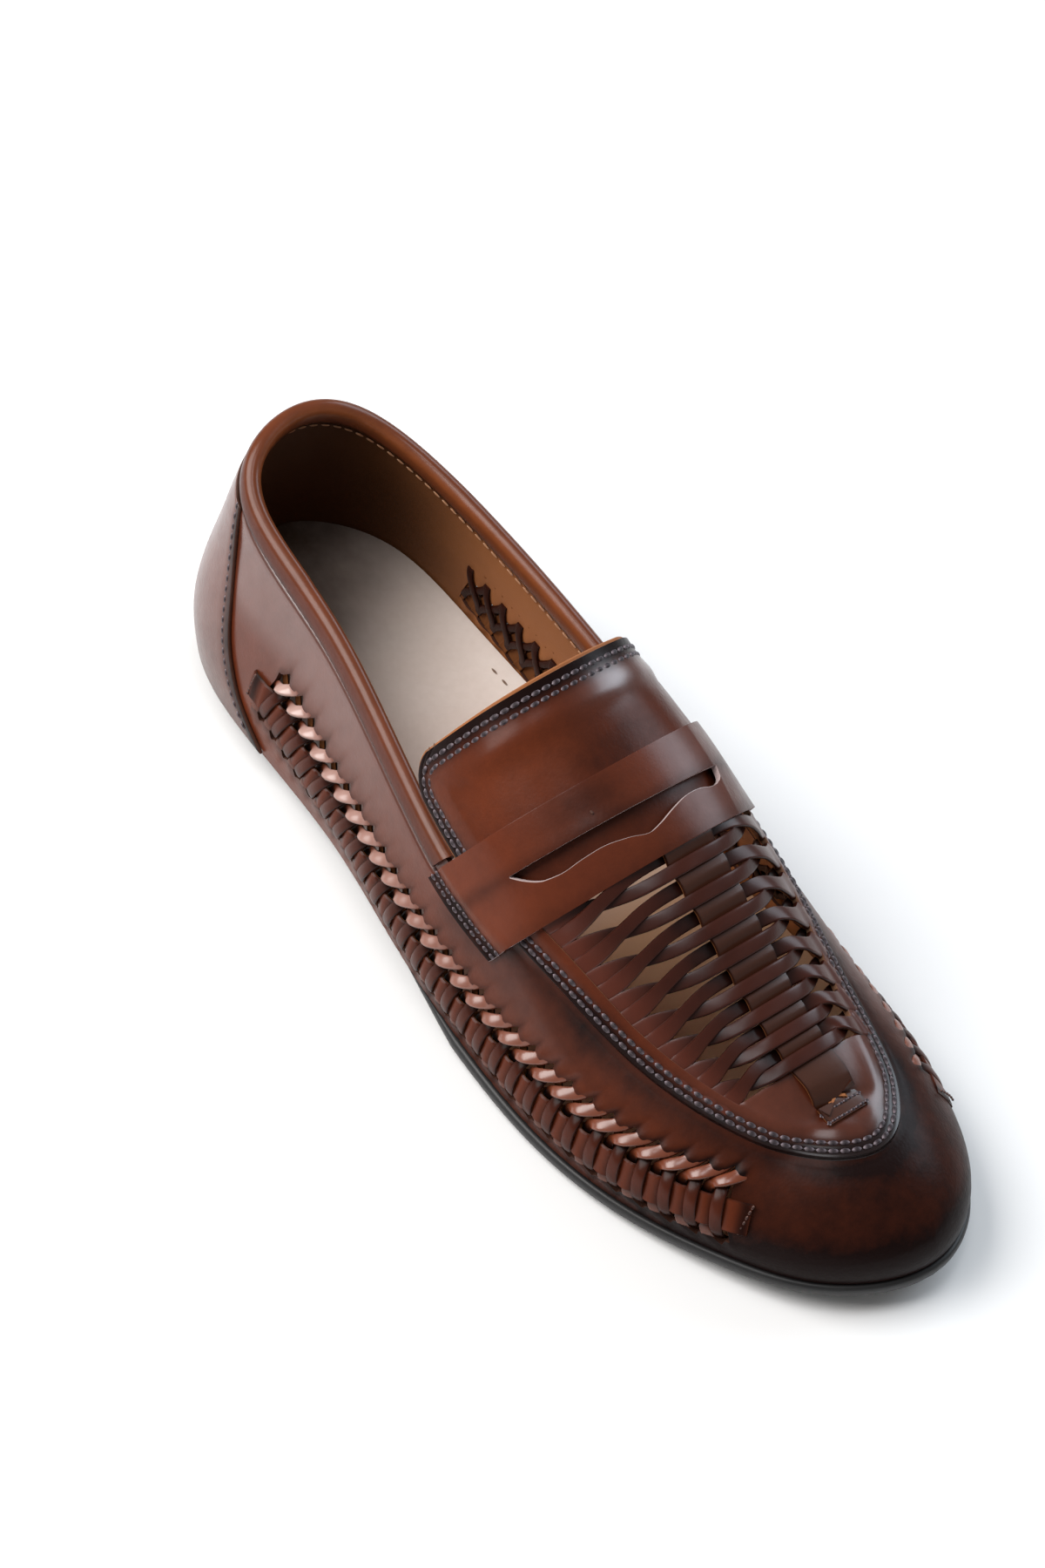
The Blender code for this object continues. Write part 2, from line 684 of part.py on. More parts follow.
def build_outsole(collection, material):
    sheet = Sheet()
    stations = sole_stations()
    u = both_sides(stations)[:-1]
    rows = SECTION(u)
    feather = rows[:, 3]
    tread = np.interp(rows[:, 0], *np.array(list(TREAD.values())).T)
    tucked = np.interp(rows[:, 0], *np.array(list(TUCK_X.values())).T)
    rings = [sheet.ring(feather_points(u, outset - tuck * tucked, feather - depth))
             for outset, depth, tuck in SOLE_SIDE.values()]
    outset, tuck = TREAD_EDGE
    rings.append(sheet.ring(feather_points(u, outset - tuck * tucked, tread)))
    for high, low in zip(rings, rings[1:]):
        sheet.band(closed(low), closed(high))
    close_block(sheet, rings[-1], rings[0], stations)
    return add_object("outsole", sheet.points, sheet.faces, material, collection)


def main():
    clear_scene()
    collection = bpy.data.collections.new(NAME)
    bpy.context.scene.collection.children.link(collection)
    brown = leather("brown_leather", LEATHER, 0.42)
    dark = leather("dark_leather", DARK_LEATHER, 0.4)
    build_outsole(collection, leather("black_rubber", RUBBER, 0.5))
    build_insole(collection, leather("insole_leather", INSOLE_TAN, 0.7))
    build_upper(collection, brown)
    build_strap(collection, leather("strap_leather", LEATHER, 0.42))
    build_counter(collection, leather("counter_leather", LEATHER, 0.4))
    build_binding(collection, dark)


main()
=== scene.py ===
import math

import bmesh
import bpy
import numpy as np
from mathutils import Matrix, Vector
from mathutils.bvhtree import BVHTree


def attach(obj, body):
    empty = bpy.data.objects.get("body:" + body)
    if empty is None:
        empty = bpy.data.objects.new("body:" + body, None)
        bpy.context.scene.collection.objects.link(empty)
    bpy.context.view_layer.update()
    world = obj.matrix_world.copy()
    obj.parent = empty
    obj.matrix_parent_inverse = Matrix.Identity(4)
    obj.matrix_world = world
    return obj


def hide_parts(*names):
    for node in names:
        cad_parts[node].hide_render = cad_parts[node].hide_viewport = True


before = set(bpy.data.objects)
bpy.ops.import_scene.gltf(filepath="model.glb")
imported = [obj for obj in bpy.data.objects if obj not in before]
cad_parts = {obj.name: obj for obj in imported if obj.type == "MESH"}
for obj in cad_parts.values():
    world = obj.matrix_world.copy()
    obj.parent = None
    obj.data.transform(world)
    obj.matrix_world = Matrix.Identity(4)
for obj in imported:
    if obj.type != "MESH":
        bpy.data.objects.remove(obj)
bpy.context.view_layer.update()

# Outsole
# One thin moulding of black rubber with a low heel, an arch and a little toe spring. It shows as a
# rand round the forefoot and is tucked under the waist and the heel, cemented to the upper.

MM = 0.001
ORIGIN = np.array((142.55, -2.85, 0.0))

# Last sections from heel to toe, millimetres: lateral and medial are the half widths at the
# feather edge, topline is the collar height and then the height of the apron seam
LAST_COLUMNS = ("x", "lateral", "medial", "feather", "crest", "bulge", "lateral_flare", "medial_flare",
                "lean", "topline", "spine_y")
LAST = {
    "heel_back": (-1.6, 0.0, 0.0, 8.0, 116.0, 2.0, 0.0, 0.0, 0.0, 81.4, 0.0),
    "heel_corner": (4.4, 20.4, 17.0, 8.0, 116.0, 2.0, 0.0, 0.0, 0.0, 80.0, 0.0),
    "heel_side": (24.0, 34.2, 29.5, 8.0, 118.0, 2.0, -2.0, 0.5, 0.0, 73.0, 0.0),
    "heel_front": (55.0, 38.8, 31.8, 8.0, 120.0, 1.6, -4.0, 3.5, 0.2, 65.4, -2.0),
    "waist": (92.0, 41.2, 32.5, 7.6, 93.5, 1.8, 4.0, 7.6, 0.44, 56.8, -4.6),
    "instep": (128.0, 47.4, 37.5, 6.8, 78.7, 1.5, 5.0, 7.4, 0.45, 50.2, -4.4),
    "vamp": (163.0, 51.6, 45.8, 6.0, 64.5, 1.5, 1.0, 1.8, 0.45, 44.5, -2.6),
    "ball": (197.0, 52.5, 47.0, 5.6, 49.6, 1.8, 0.0, 0.0, 0.43, 38.8, -2.2),
    "toe_side": (228.0, 47.0, 45.7, 6.4, 41.5, 1.6, 0.0, 0.0, 0.27, 35.5, -0.2),
    "toe_corner": (254.0, 36.6, 40.4, 8.4, 37.4, 1.6, 0.0, 0.0, 0.05, 33.6, 2.2),
    "toe_quarter": (277.0, 21.0, 28.4, 10.6, 37.4, 1.6, 0.0, 0.0, 0.0, 34.6, 2.2),
    "toe_tip": (288.6, -5.5, 5.5, 12.0, 37.4, 1.6, 0.0, 0.0, 0.0, 35.0, 2.2),
}
WALL_ROUND = 0.92
HEEL_CENTRE = 34.0
TOE_CENTRE = 245.0
CENTRE_BLEND = 6.0
BULGE_HEIGHT = 34.0
FLARE_HEIGHT = 50.0


def closed_spline(knots, values):
    """Smooth closed curve through the rows of values, one turn for every 2 of the parameter."""
    count = len(values)
    knots = np.concatenate([knots, 2.0 - knots[-2::-1]])
    span = np.diff(knots)
    matrix = np.zeros((count, count))
    right = np.zeros_like(values)
    for i in range(count):
        before = (i - 1) % count
        after = (i + 1) % count
        matrix[i, before] += span[before]
        matrix[i, i] += 2.0 * (span[before] + span[i])
        matrix[i, after] += span[i]
        rise = (values[after] - values[i]) / span[i]
        right[i] = 6.0 * (rise - (values[i] - values[before]) / span[before])
    bend = np.linalg.solve(matrix, right)

    def curve(u):
        u = np.mod(u, 2.0)
        i = np.clip(np.searchsorted(knots, u, side="right") - 1, 0, count - 1)
        j = (i + 1) % count
        width = span[i][:, None]
        ahead = (knots[i + 1] - u)[:, None]
        behind = (u - knots[i])[:, None]
        bent = (bend[i] * ahead ** 3 + bend[j] * behind ** 3) / (6.0 * width)
        start = (values[i] / width - bend[i] * width / 6.0) * ahead
        end = (values[j] / width - bend[j] * width / 6.0) * behind
        return bent + start + end

    return curve


def last_curve():
    """Sections of the last round one closed loop: out along the lateral side, back along the medial."""
    rows = {name: np.array(column) for name, column in zip(LAST_COLUMNS, zip(*LAST.values()))}
    half = (rows["lateral"] + rows["medial"]) / 2.0
    steps = np.hypot(np.diff(rows["x"]), np.diff(half)) ** 0.5
    knots = np.concatenate([[0.0], np.cumsum(steps)])
    shared = [rows[name] for name in ("feather", "crest", "bulge", "lean", "topline", "spine_y")]
    lateral = np.stack([rows["x"], -rows["lateral"], rows["lateral_flare"]] + shared, axis=1)
    medial = np.stack([rows["x"], rows["medial"], rows["medial_flare"]] + shared, axis=1)
    return closed_spline(knots / knots[-1], np.concatenate([lateral, medial[-2:0:-1]]))


section = last_curve()
# Columns of a section that are read by themselves
X, FEATHER, CREST, TOPLINE = 0, 3, 4, 7


def spine_x(x):
    low = HEEL_CENTRE + CENTRE_BLEND * np.logaddexp(0.0, (x - HEEL_CENTRE) / CENTRE_BLEND)
    return TOE_CENTRE - CENTRE_BLEND * np.logaddexp(0.0, (TOE_CENTRE - low) / CENTRE_BLEND)


def skin(u, rise, outset=0.0):
    """Points on the last: u runs round the feather edge, rise from the feather (0) to the ridge (1)."""
    u, rise = np.broadcast_arrays(np.asarray(u, float), np.asarray(rise, float))
    x, y, flare, feather, crest, bulge, lean, topline, ridge_y = section(u.ravel()).T
    angle = rise.ravel() * math.pi / 2.0
    height = np.sin(angle)
    inward = np.clip(np.cos(angle), 0.0, 1.0) ** WALL_ROUND
    depth = crest - feather
    up = depth * height
    ridge_x = spine_x(x)
    reach = np.hypot(x - ridge_x, y - ridge_y) + 1e-9
    along = height / np.minimum(BULGE_HEIGHT / depth, 0.9)
    fading = np.cos(math.pi / 2.0 * np.clip(along - 0.5, 0.0, 1.0)) ** 2
    added = bulge * np.where(along < 0.5, np.sin(math.pi * np.minimum(along, 0.5)), fading)
    added += flare * np.clip(up / FLARE_HEIGHT, 0.0, 1.2)
    added *= np.clip(inward / 0.4, 0.0, 1.0)
    share = (inward * reach + added + np.broadcast_to(outset, u.shape).ravel()) / reach
    points = np.stack([ridge_x + (x - ridge_x) * share + lean * up,
                       ridge_y + (y - ridge_y) * share,
                       feather + up], axis=1)
    return points.reshape(u.shape + (3,))


def unit(vectors):
    return vectors / np.maximum(np.linalg.norm(vectors, axis=-1, keepdims=True), 1e-12)


def smoothstep(low, high, value):
    t = np.clip((np.asarray(value, float) - low) / (high - low), 0.0, 1.0)
    return t * t * (3.0 - 2.0 * t)


def hump(distance, width):
    """Soft bell, 1 at no distance."""
    return np.exp(-(np.asarray(distance, float) / width) ** 2)


station_grid = np.linspace(0.0, 1.0, 801)
station_x = section(station_grid)[:, X]


def both_sides(stations):
    """Closed loop of stations: out along the lateral side and back along the medial side."""
    return np.concatenate([stations, 2.0 - stations[-2:0:-1]])


def grid_faces(rows, columns, closed=False, keep=None):
    """Quads between rows of points, outward where the rows climb and the columns run with u."""
    faces = []
    for k in range(rows - 1):
        for j in range(columns if closed else columns - 1):
            if keep is None or keep[k, j]:
                n = (j + 1) % columns
                a = k * columns
                b = a + columns
                faces.append((a + j, a + n, b + n, b + j))
    return faces


def add_piece(name, points, faces, finishes, values, edges=()):
    """Mesh object from points in millimetres on the last, with its numbers for the finish."""
    mesh = bpy.data.meshes.new(name)
    points = np.asarray(points, float)
    mesh.from_pydata(((points.reshape(-1, 3) - ORIGIN) * MM).tolist(), edges, faces)
    for attribute, numbers in values.items():
        numbers = np.broadcast_to(numbers, points.shape[:-1]).ravel()
        layer = mesh.attributes.new(attribute, "FLOAT", "POINT")
        layer.data.foreach_set("value", numbers.astype(np.float32))
    for finish in finishes:
        mesh.materials.append(finish)
    piece = bpy.data.objects.new(name, mesh)
    bpy.context.scene.collection.objects.link(piece)
    return piece


def weld(piece, distance=0.02):
    """Merges points that meet and drops the ones that no face uses."""
    shape = bmesh.new()
    shape.from_mesh(piece.data)
    bmesh.ops.remove_doubles(shape, verts=shape.verts, dist=distance * MM)
    loose = [v for v in shape.verts if not v.link_faces]
    bmesh.ops.delete(shape, geom=loose, context="VERTS")
    shape.to_mesh(piece.data)
    shape.free()


def settle(piece, sharp=50.0):
    """Turns a piece and its modifiers into a plain smooth mesh."""
    shown = piece.evaluated_get(bpy.context.evaluated_depsgraph_get())
    mesh = bpy.data.meshes.new_from_object(shown)
    piece.modifiers.clear()
    piece.data = mesh
    mesh.shade_smooth()
    mesh.set_sharp_from_angle(angle=math.radians(sharp))


def round_edges(piece, width, segments, angle):
    edge = piece.modifiers.new("edge", "BEVEL")
    edge.width = width * MM
    edge.segments = segments
    edge.limit_method = "ANGLE"
    edge.angle_limit = math.radians(angle)


def fit(piece, slot, *nodes):
    """Gives a finished piece to the shoe's one body."""
    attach(piece, "root")
    if nodes:
        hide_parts(*nodes)


class Wire:
    """A socket of a finish. Sums on it add Math nodes."""

    def __init__(self, finish, socket):
        self.finish = finish
        self.socket = socket

    def math(self, operation, first, second, clamp=False):
        settings = {"operation": operation, "use_clamp": clamp}
        return self.finish.node("ShaderNodeMath", settings, {0: first, 1: second})

    def __add__(self, other):
        return self.math("ADD", self, other)

    def __sub__(self, other):
        return self.math("SUBTRACT", self, other)

    def __mul__(self, other):
        return self.math("MULTIPLY", self, other)

    def __abs__(self):
        return self.math("ABSOLUTE", self, 0.0)

    def __radd__(self, other):
        return self.math("ADD", other, self)

    def __rsub__(self, other):
        return self.math("SUBTRACT", other, self)

    def __rmul__(self, other):
        return self.math("MULTIPLY", other, self)

    def clamped(self):
        return self.math("ADD", self, 0.0, clamp=True)


class Finish:
    """A procedural finish on one Principled shader."""

    def __init__(self, name, constants):
        self.material = bpy.data.materials.new(name)
        self.material.use_nodes = True
        self.tree = self.material.node_tree
        self.shader = self.tree.nodes["Principled BSDF"]
        for socket, value in constants.items():
            self.shader.inputs[socket].default_value = value

    def node(self, kind, settings=None, sockets=None, output=0):
        node = self.tree.nodes.new(kind)
        for key, value in (settings or {}).items():
            setattr(node, key, value)
        for key, value in (sockets or {}).items():
            if isinstance(key, str):
                socket = next(s for s in node.inputs if s.name == key and not s.is_unavailable)
            else:
                socket = node.inputs[key]
            self.feed(socket, value)
        shown = [s for s in node.outputs if not s.is_unavailable]
        return Wire(self, node.outputs[output] if isinstance(output, str) else shown[output])

    def feed(self, socket, value):
        if isinstance(value, Wire):
            self.tree.links.new(value.socket, socket)
        else:
            socket.default_value = value

    def set(self, socket, value):
        self.feed(self.shader.inputs[socket], value)

    def place(self):
        return self.node("ShaderNodeTexCoord", output="Object")

    def value_of(self, attribute):
        return self.node("ShaderNodeAttribute", {"attribute_name": attribute}, output="Fac")

    def noise(self, place, scale, detail=3.0, roughness=0.5):
        sockets = {"Vector": place, "Scale": scale, "Detail": detail, "Roughness": roughness}
        return self.node("ShaderNodeTexNoise", None, sockets)

    def cells(self, place, scale, feature="F1"):
        return self.node("ShaderNodeTexVoronoi", {"feature": feature}, {"Vector": place, "Scale": scale})

    def ribs(self, place, scale):
        return self.node("ShaderNodeTexWave", {"wave_profile": "SIN"}, {"Vector": place, "Scale": scale})

    def mix(self, share, first, second):
        first, second = (c if isinstance(c, Wire) else (*c, 1.0) for c in (first, second))
        return self.node("ShaderNodeMix", {"data_type": "RGBA"}, {"Factor": share, "A": first, "B": second})

    def bump(self, height, strength, distance, under=None):
        sockets = {"Height": height, "Strength": strength, "Distance": distance}
        if under is not None:
            sockets["Normal"] = under
        return self.node("ShaderNodeBump", None, sockets)


def black_rubber():
    """Satin black rubber with a fine moulded texture, and shallow ribs across the tread."""
    finish = Finish("black_rubber", {"Specular IOR Level": 0.45})
    place = finish.place()
    cloud = finish.noise(place, 60.0, 4.0)
    finish.set("Base Color", finish.mix(cloud, (0.006, 0.006, 0.007), (0.016, 0.015, 0.015)))
    finish.set("Roughness", 0.34 + cloud * 0.2)
    stipple = finish.bump(finish.noise(place, 1500.0, 2.0), 0.25, 0.0001)
    ribs = finish.ribs(place, 75.0) * finish.value_of("tread")
    finish.set("Normal", finish.bump(ribs, 0.7, 0.0008, stipple))
    return finish.material


SOLE_COLUMNS = 230
SOLE_ACROSS = 14
# Side of the sole from its top edge down: outset from the feather edge, depth below it and tuck
SOLE_SIDE = ((0.1, 0.45, 1.0), (0.5, 0.46, 1.2), (0.95, 0.7, 1.7), (1.3, 1.1, 2.4), (1.5, 1.7, 3.0),
             (1.5, 2.4, 3.4), (1.42, 3.1, 3.8), (1.3, 3.7, 4.1), (1.0, 4.0, 4.0), (0.6, 4.15, 3.8),
             (0.4, 4.25, 3.7))
SOLE_TUCK_X = (125.0, 160.0)
# Below that side: shares of the way down, outset and tuck from its top to its foot, and the tread's edge
SOLE_WALL = (0.15, 0.4, 0.7, 0.9)
SOLE_WALL_OUTSET = (0.4, 0.1)
SOLE_WALL_TUCK = (3.7, 4.9)
TREAD_EDGE = ((-0.1, 0.05), (-0.7, 0.0))
TREAD_TUCK = 5.0
TREAD_BORDER = 0.09
TREAD_WORN_UNDER = 0.4
TREAD_X = (0.0, 70.0, 74.0, 96.0, 128.0, 160.0, 212.0, 240.0, 270.0, 288.6, 300.0)
TREAD_Z = (0.0, 0.0, 2.6, 2.4, 1.2, 0.0, 0.0, 1.6, 4.9, 7.2, 8.2)


def sole_ring(u, outset, z):
    points = skin(u, np.zeros(len(u)), outset)
    points[:, 2] = z
    return points


def across_sheet(ring, stations, columns):
    """Points straight across a closed ring of paired stations, one row for each station."""
    lateral = ring[:len(stations)]
    medial = np.concatenate([ring[:1], ring[:len(stations) - 1:-1], ring[len(stations) - 1:len(stations)]])
    share = np.linspace(0.0, 1.0, columns)[None, :, None]
    return lateral[:, None] * (1.0 - share) + medial[:, None] * share


sole_stations = np.interp(np.linspace(0.0, station_x[-1], SOLE_COLUMNS + 1), station_x, station_grid)
sole_stations = 0.5 * (sole_stations + np.linspace(0.0, 1.0, SOLE_COLUMNS + 1))
sole_u = both_sides(sole_stations)
sole_rows = section(sole_u)
feather = sole_rows[:, FEATHER]
tread_z = np.interp(sole_rows[:, X], TREAD_X, TREAD_Z)
tucked = np.interp(sole_rows[:, X], SOLE_TUCK_X, (1.0, 0.0))
rings = [sole_ring(sole_u, outset - tuck * tucked, feather - depth) for outset, depth, tuck in SOLE_SIDE]
step_z = feather - SOLE_SIDE[-1][1]
for share in SOLE_WALL:
    outset, tuck = (np.interp(share, (0.0, 1.0), ends) for ends in (SOLE_WALL_OUTSET, SOLE_WALL_TUCK))
    rings.append(sole_ring(sole_u, outset - tuck * tucked, step_z + (tread_z - step_z) * share))
rings += [sole_ring(sole_u, outset - TREAD_TUCK * tucked, tread_z + lift) for outset, lift in TREAD_EDGE]
rings = np.array(rings[::-1])
count = len(sole_u)
points = list(rings.reshape(-1, 3))
faces = grid_faces(len(rings), count, closed=True)
treads = [np.zeros(rings[..., 0].size)]
for ring, upward in ((rings[-1], True), (rings[0], False)):
    sheet = across_sheet(ring, sole_stations, SOLE_ACROSS)
    base = len(points)
    points.extend(sheet.reshape(-1, 3))
    flat = grid_faces(len(sheet), SOLE_ACROSS)
    faces.extend(tuple(base + i for i in (f[::-1] if upward else f)) for f in flat)
    edge = np.minimum(np.linspace(0, 1, SOLE_ACROSS), np.linspace(1, 0, SOLE_ACROSS))
    worn = (sheet[..., 2] < TREAD_WORN_UNDER) & (edge > TREAD_BORDER) & (not upward)
    treads.append(worn.ravel())
outsole = add_piece("outsole_rubber", points, faces, [black_rubber()], {"tread": np.concatenate(treads)})
weld(outsole)
settle(outsole, 35.0)
fit(outsole, "black_rubber", "outsole")

# Insole
# A leather-covered footbed on the outsole, thick under the heel and thin under the toes, dished for
# the foot. One row of thread runs along its inner side.

INSOLE_THICK = 3.0
INSOLE_INSET_X = (30.0, 200.0, 265.0)
INSOLE_INSET = (2.3, 2.6, 3.7)
INSOLE_ACROSS = 40
INSOLE_CUP = 1.1
HEEL_SEAT = {"deep": 0.9, "x": 38.0, "reach": 30.0}
ARCH = {"high": 1.2, "x": 110.0, "reach": 28.0}
FOOTBED_X = (0.0, 30.0, 58.0, 92.0, 128.0, 170.0)
FOOTBED_Z = (22.0, 22.0, 20.6, 17.2, 12.6, 8.8)


def skin_normal(u, rise):
    u, rise = np.broadcast_arrays(np.asarray(u, float), np.asarray(rise, float))
    step = 0.002
    safe = np.clip(rise, 0.004, 0.965)

    def facing(station):
        along = skin(station + step, safe) - skin(station - step, safe)
        upward = skin(station, safe + step) - skin(station, safe - step)
        return unit(np.cross(along, upward))

    blend = np.clip((rise - 0.9) / 0.1, 0.0, 1.0)[..., None] * 0.5
    return unit(facing(u) * (1.0 - blend) + facing(2.0 - u) * blend)


def lifted(u, rise, lift):
    return skin(u, rise) + skin_normal(u, rise) * np.asarray(lift, float)[..., None]


def rise_of_height(u, z):
    rows = section(np.asarray(u, float))
    share = (z - rows[:, FEATHER]) / (rows[:, CREST] - rows[:, FEATHER])
    return np.arcsin(np.clip(share, 0.0, 0.985)) * 2.0 / math.pi


def flowing(knots, values, at):
    """Smooth curve through values at knots, with easy slopes."""
    knots = np.asarray(knots, float)
    values = np.asarray(values, float)
    slopes = np.gradient(values, knots, axis=0)
    i = np.clip(np.searchsorted(knots, at, side="right") - 1, 0, len(knots) - 2)
    span = knots[i + 1] - knots[i]
    t = (at - knots[i]) / span
    if values.ndim > 1:
        span, t = span[:, None], t[:, None]
    return (values[i] * (1 + 2 * t) * (1 - t) ** 2 + values[i + 1] * t * t * (3 - 2 * t)
            + slopes[i] * span * t * (1 - t) ** 2 - slopes[i + 1] * span * t * t * (1 - t))


def insole_leather():
    """Pale undyed leather, matt, darker towards the heel with soiling and painted shade, and with painted
    shade under the vamp.
    """
    finish = Finish("insole_leather", {"Specular IOR Level": 0.15})
    place = finish.place()
    cloud = finish.noise(place, 26.0, 5.0, 0.6)
    fibre = finish.noise(place, 420.0, 3.0)
    tone = finish.mix((cloud * 1.6 - 0.3).clamped(), (0.78, 0.66, 0.59), (0.92, 0.83, 0.77))
    tone = finish.mix(fibre * 0.2, tone, (0.40, 0.28, 0.19))
    # Painted shade on the insole under the vamp
    tone = finish.mix(finish.value_of("vamp_shade"), tone, (0.62, 0.35, 0.19))
    # Darker towards the heel: soiling, and painted shade under the collar
    soiled_and_shaded = finish.value_of("soil_and_shade") * (0.7 + cloud * 0.5)
    finish.set("Base Color", finish.mix(soiled_and_shaded, tone, (0.035, 0.016, 0.007)))
    finish.set("Roughness", 0.5 + cloud * 0.25)
    grain = finish.bump(finish.cells(place, 1300.0), 0.18, 0.00012)
    finish.set("Normal", finish.bump(cloud, 0.25, 0.0012, grain))
    return finish.material


def thread(name, colour, glint):
    """Twisted thread, with a painted highlight at the ends of each stitch."""
    finish = Finish(name, {"Specular IOR Level": 0.3, "Roughness": 0.42})
    ends = finish.value_of("stitch_end")
    finish.set("Base Color", finish.mix(ends, colour, glint))
    finish.set("Normal", finish.bump(finish.ribs(finish.place(), 1100.0), 0.35, 0.00015))
    return finish.material


def node_tree(name, inputs):
    """Empty Geometry Nodes tree with a geometry in and out and the named inputs."""
    tree = bpy.data.node_groups.new(name, "GeometryNodeTree")
    tree.interface.new_socket("Geometry", in_out="INPUT", socket_type="NodeSocketGeometry")
    for label, kind in inputs:
        tree.interface.new_socket(label, in_out="INPUT", socket_type="NodeSocket" + kind)
    tree.interface.new_socket("Geometry", in_out="OUTPUT", socket_type="NodeSocketGeometry")
    start = tree.nodes.new("NodeGroupInput")
    end = tree.nodes.new("NodeGroupOutput")

    def join(socket, value):
        if isinstance(value, bpy.types.NodeSocket):
            tree.links.new(value, socket)
        else:
            socket.default_value = value

    def add(kind, settings=None, **sockets):
        node = tree.nodes.new(kind)
        for key, value in (settings or {}).items():
            setattr(node, key, value)
        for key, value in sockets.items():
            label = key.replace("_", " ").title()
            join(next(s for s in node.inputs if s.name == label and not s.is_unavailable), value)
        return next(s for s in node.outputs if not s.is_unavailable)

    def sums(operation, first, second=0.0):
        result = add("ShaderNodeMath", {"operation": operation})
        join(result.node.inputs[0], first)
        join(result.node.inputs[1], second)
        return result

    return tree, start.outputs, end.inputs, add, sums


def run_tree(piece, tree, values):
    """Gives the tree its inputs, runs it on the piece and keeps the plain mesh that comes out."""
    modifier = piece.modifiers.new(tree.name, "NODES")
    modifier.node_group = tree
    for item in tree.interface.items_tree:
        if item.in_out == "INPUT" and item.name in values:
            modifier[item.identifier] = values[item.name]
    settle(piece)


def guide(name, paths, numbers):
    """Loose edges along paths, with the side that each point faces and its other numbers."""
    points, facing = (np.concatenate(part) for part in zip(*paths))
    ends = set(np.cumsum([len(path) for path, side in paths]) - 1)
    edges = [(j, j + 1) for j in range(len(points)) if j not in ends]
    piece = add_piece(name, points, [], [], numbers, edges)
    layer = piece.data.attributes.new("facing", "FLOAT_VECTOR", "POINT")
    layer.data.foreach_set("vector", unit(facing).astype(np.float32).ravel())
    return piece


def stitch_tree():
    """A sunken bead of thread at even steps along every path."""
    inputs = (("Step", "Float"), ("Length", "Float"), ("Thread", "Float"), ("Finish", "Material"))
    tree, given, result, add, sums = node_tree("stitch_row", inputs)
    half = sums("MULTIPLY", given["Length"], 0.5)
    wide = sums("MULTIPLY", given["Thread"], 0.5)
    flat = sums("MULTIPLY", given["Thread"], 0.42)
    size = add("ShaderNodeCombineXYZ", None, x=half, y=wide, z=flat)
    bead = add("GeometryNodeMeshUVSphere", None, segments=8, rings=7, radius=1.0)
    along = add("ShaderNodeSeparateXYZ", None, vector=add("GeometryNodeInputPosition"))
    # Share towards the ends of the bead, where the thread's finish paints a highlight
    ends = sums("POWER", sums("ABSOLUTE", along), 3.0)
    bead = add("GeometryNodeStoreNamedAttribute", {"data_type": "FLOAT", "domain": "POINT"},
               geometry=bead, name="stitch_end", value=ends)
    bead = add("GeometryNodeTransform", None, geometry=bead, scale=size)
    curve = add("GeometryNodeMeshToCurve", None, mesh=given["Geometry"])
    curve = add("GeometryNodeResampleCurve", {"mode": "LENGTH"}, curve=curve, length=given["Step"])
    facing = add("GeometryNodeInputNamedAttribute", {"data_type": "FLOAT_VECTOR"}, name="facing")
    turn = add("FunctionNodeAxesToRotation", {"primary_axis": "X", "secondary_axis": "Z"},
               primary_axis=add("GeometryNodeInputTangent"), secondary_axis=facing)
    row = add("GeometryNodeInstanceOnPoints", None, points=curve, instance=bead, rotation=turn)
    row = add("GeometryNodeRealizeInstances", None, geometry=row)
    row = add("GeometryNodeSetMaterial", None, geometry=row, material=given["Finish"])
    tree.links.new(row, result["Geometry"])
    return tree


STITCH_ROW = stitch_tree()


def stitches(name, paths, finish, slot, step, length, thick):
    """Rows of stitches along paths on the leather."""
    piece = guide(name, paths, {})
    sizes = {"Step": step * MM, "Length": length * MM, "Thread": thick * MM, "Finish": finish}
    run_tree(piece, STITCH_ROW, sizes)
    fit(piece, slot)


insole_inset = np.interp(sole_rows[:, X], INSOLE_INSET_X, INSOLE_INSET)
footbed = flowing(FOOTBED_X, FOOTBED_Z, sole_rows[:, X].clip(FOOTBED_X[0], FOOTBED_X[-1]))
footbed = np.maximum(footbed, feather + INSOLE_THICK)
insole_rim = lifted(sole_u, rise_of_height(sole_u, footbed), -insole_inset)
insole_rim[:, 2] = footbed
insole_top = across_sheet(insole_rim, sole_stations, INSOLE_ACROSS)
width = np.linalg.norm(insole_top[:, -1] - insole_top[:, 0], axis=1)
side = np.linspace(-1.0, 1.0, INSOLE_ACROSS)
seat = hump(insole_top[..., 0] - HEEL_SEAT["x"], HEEL_SEAT["reach"]) * (1.0 - side ** 2)
arch = hump(insole_top[..., 0] - ARCH["x"], ARCH["reach"]) * smoothstep(0.1, 0.9, side)
dish = INSOLE_CUP * np.abs(side) ** 5 - HEEL_SEAT["deep"] * seat + ARCH["high"] * arch
insole_top[..., 2] += dish * smoothstep(0.0, 24.0, width)[:, None]
insole_foot = sole_ring(sole_u, -insole_inset - 0.3, feather + 0.1)
insole_base = across_sheet(insole_foot, sole_stations, INSOLE_ACROSS)
rows = len(insole_top)
top_faces = grid_faces(rows, INSOLE_ACROSS)
base = rows * INSOLE_ACROSS
faces = [f[::-1] for f in top_faces] + [tuple(base + i for i in f) for f in top_faces]
for j in range(rows - 1):
    a, b = j * INSOLE_ACROSS, (j + 1) * INSOLE_ACROSS
    faces.append((base + a, base + b, b, a))
    a, b = a + INSOLE_ACROSS - 1, b + INSOLE_ACROSS - 1
    faces.append((base + b, base + a, a, b))
insole_points = np.concatenate([insole_top, insole_base])
x, y = insole_points[..., 0], insole_points[..., 1]
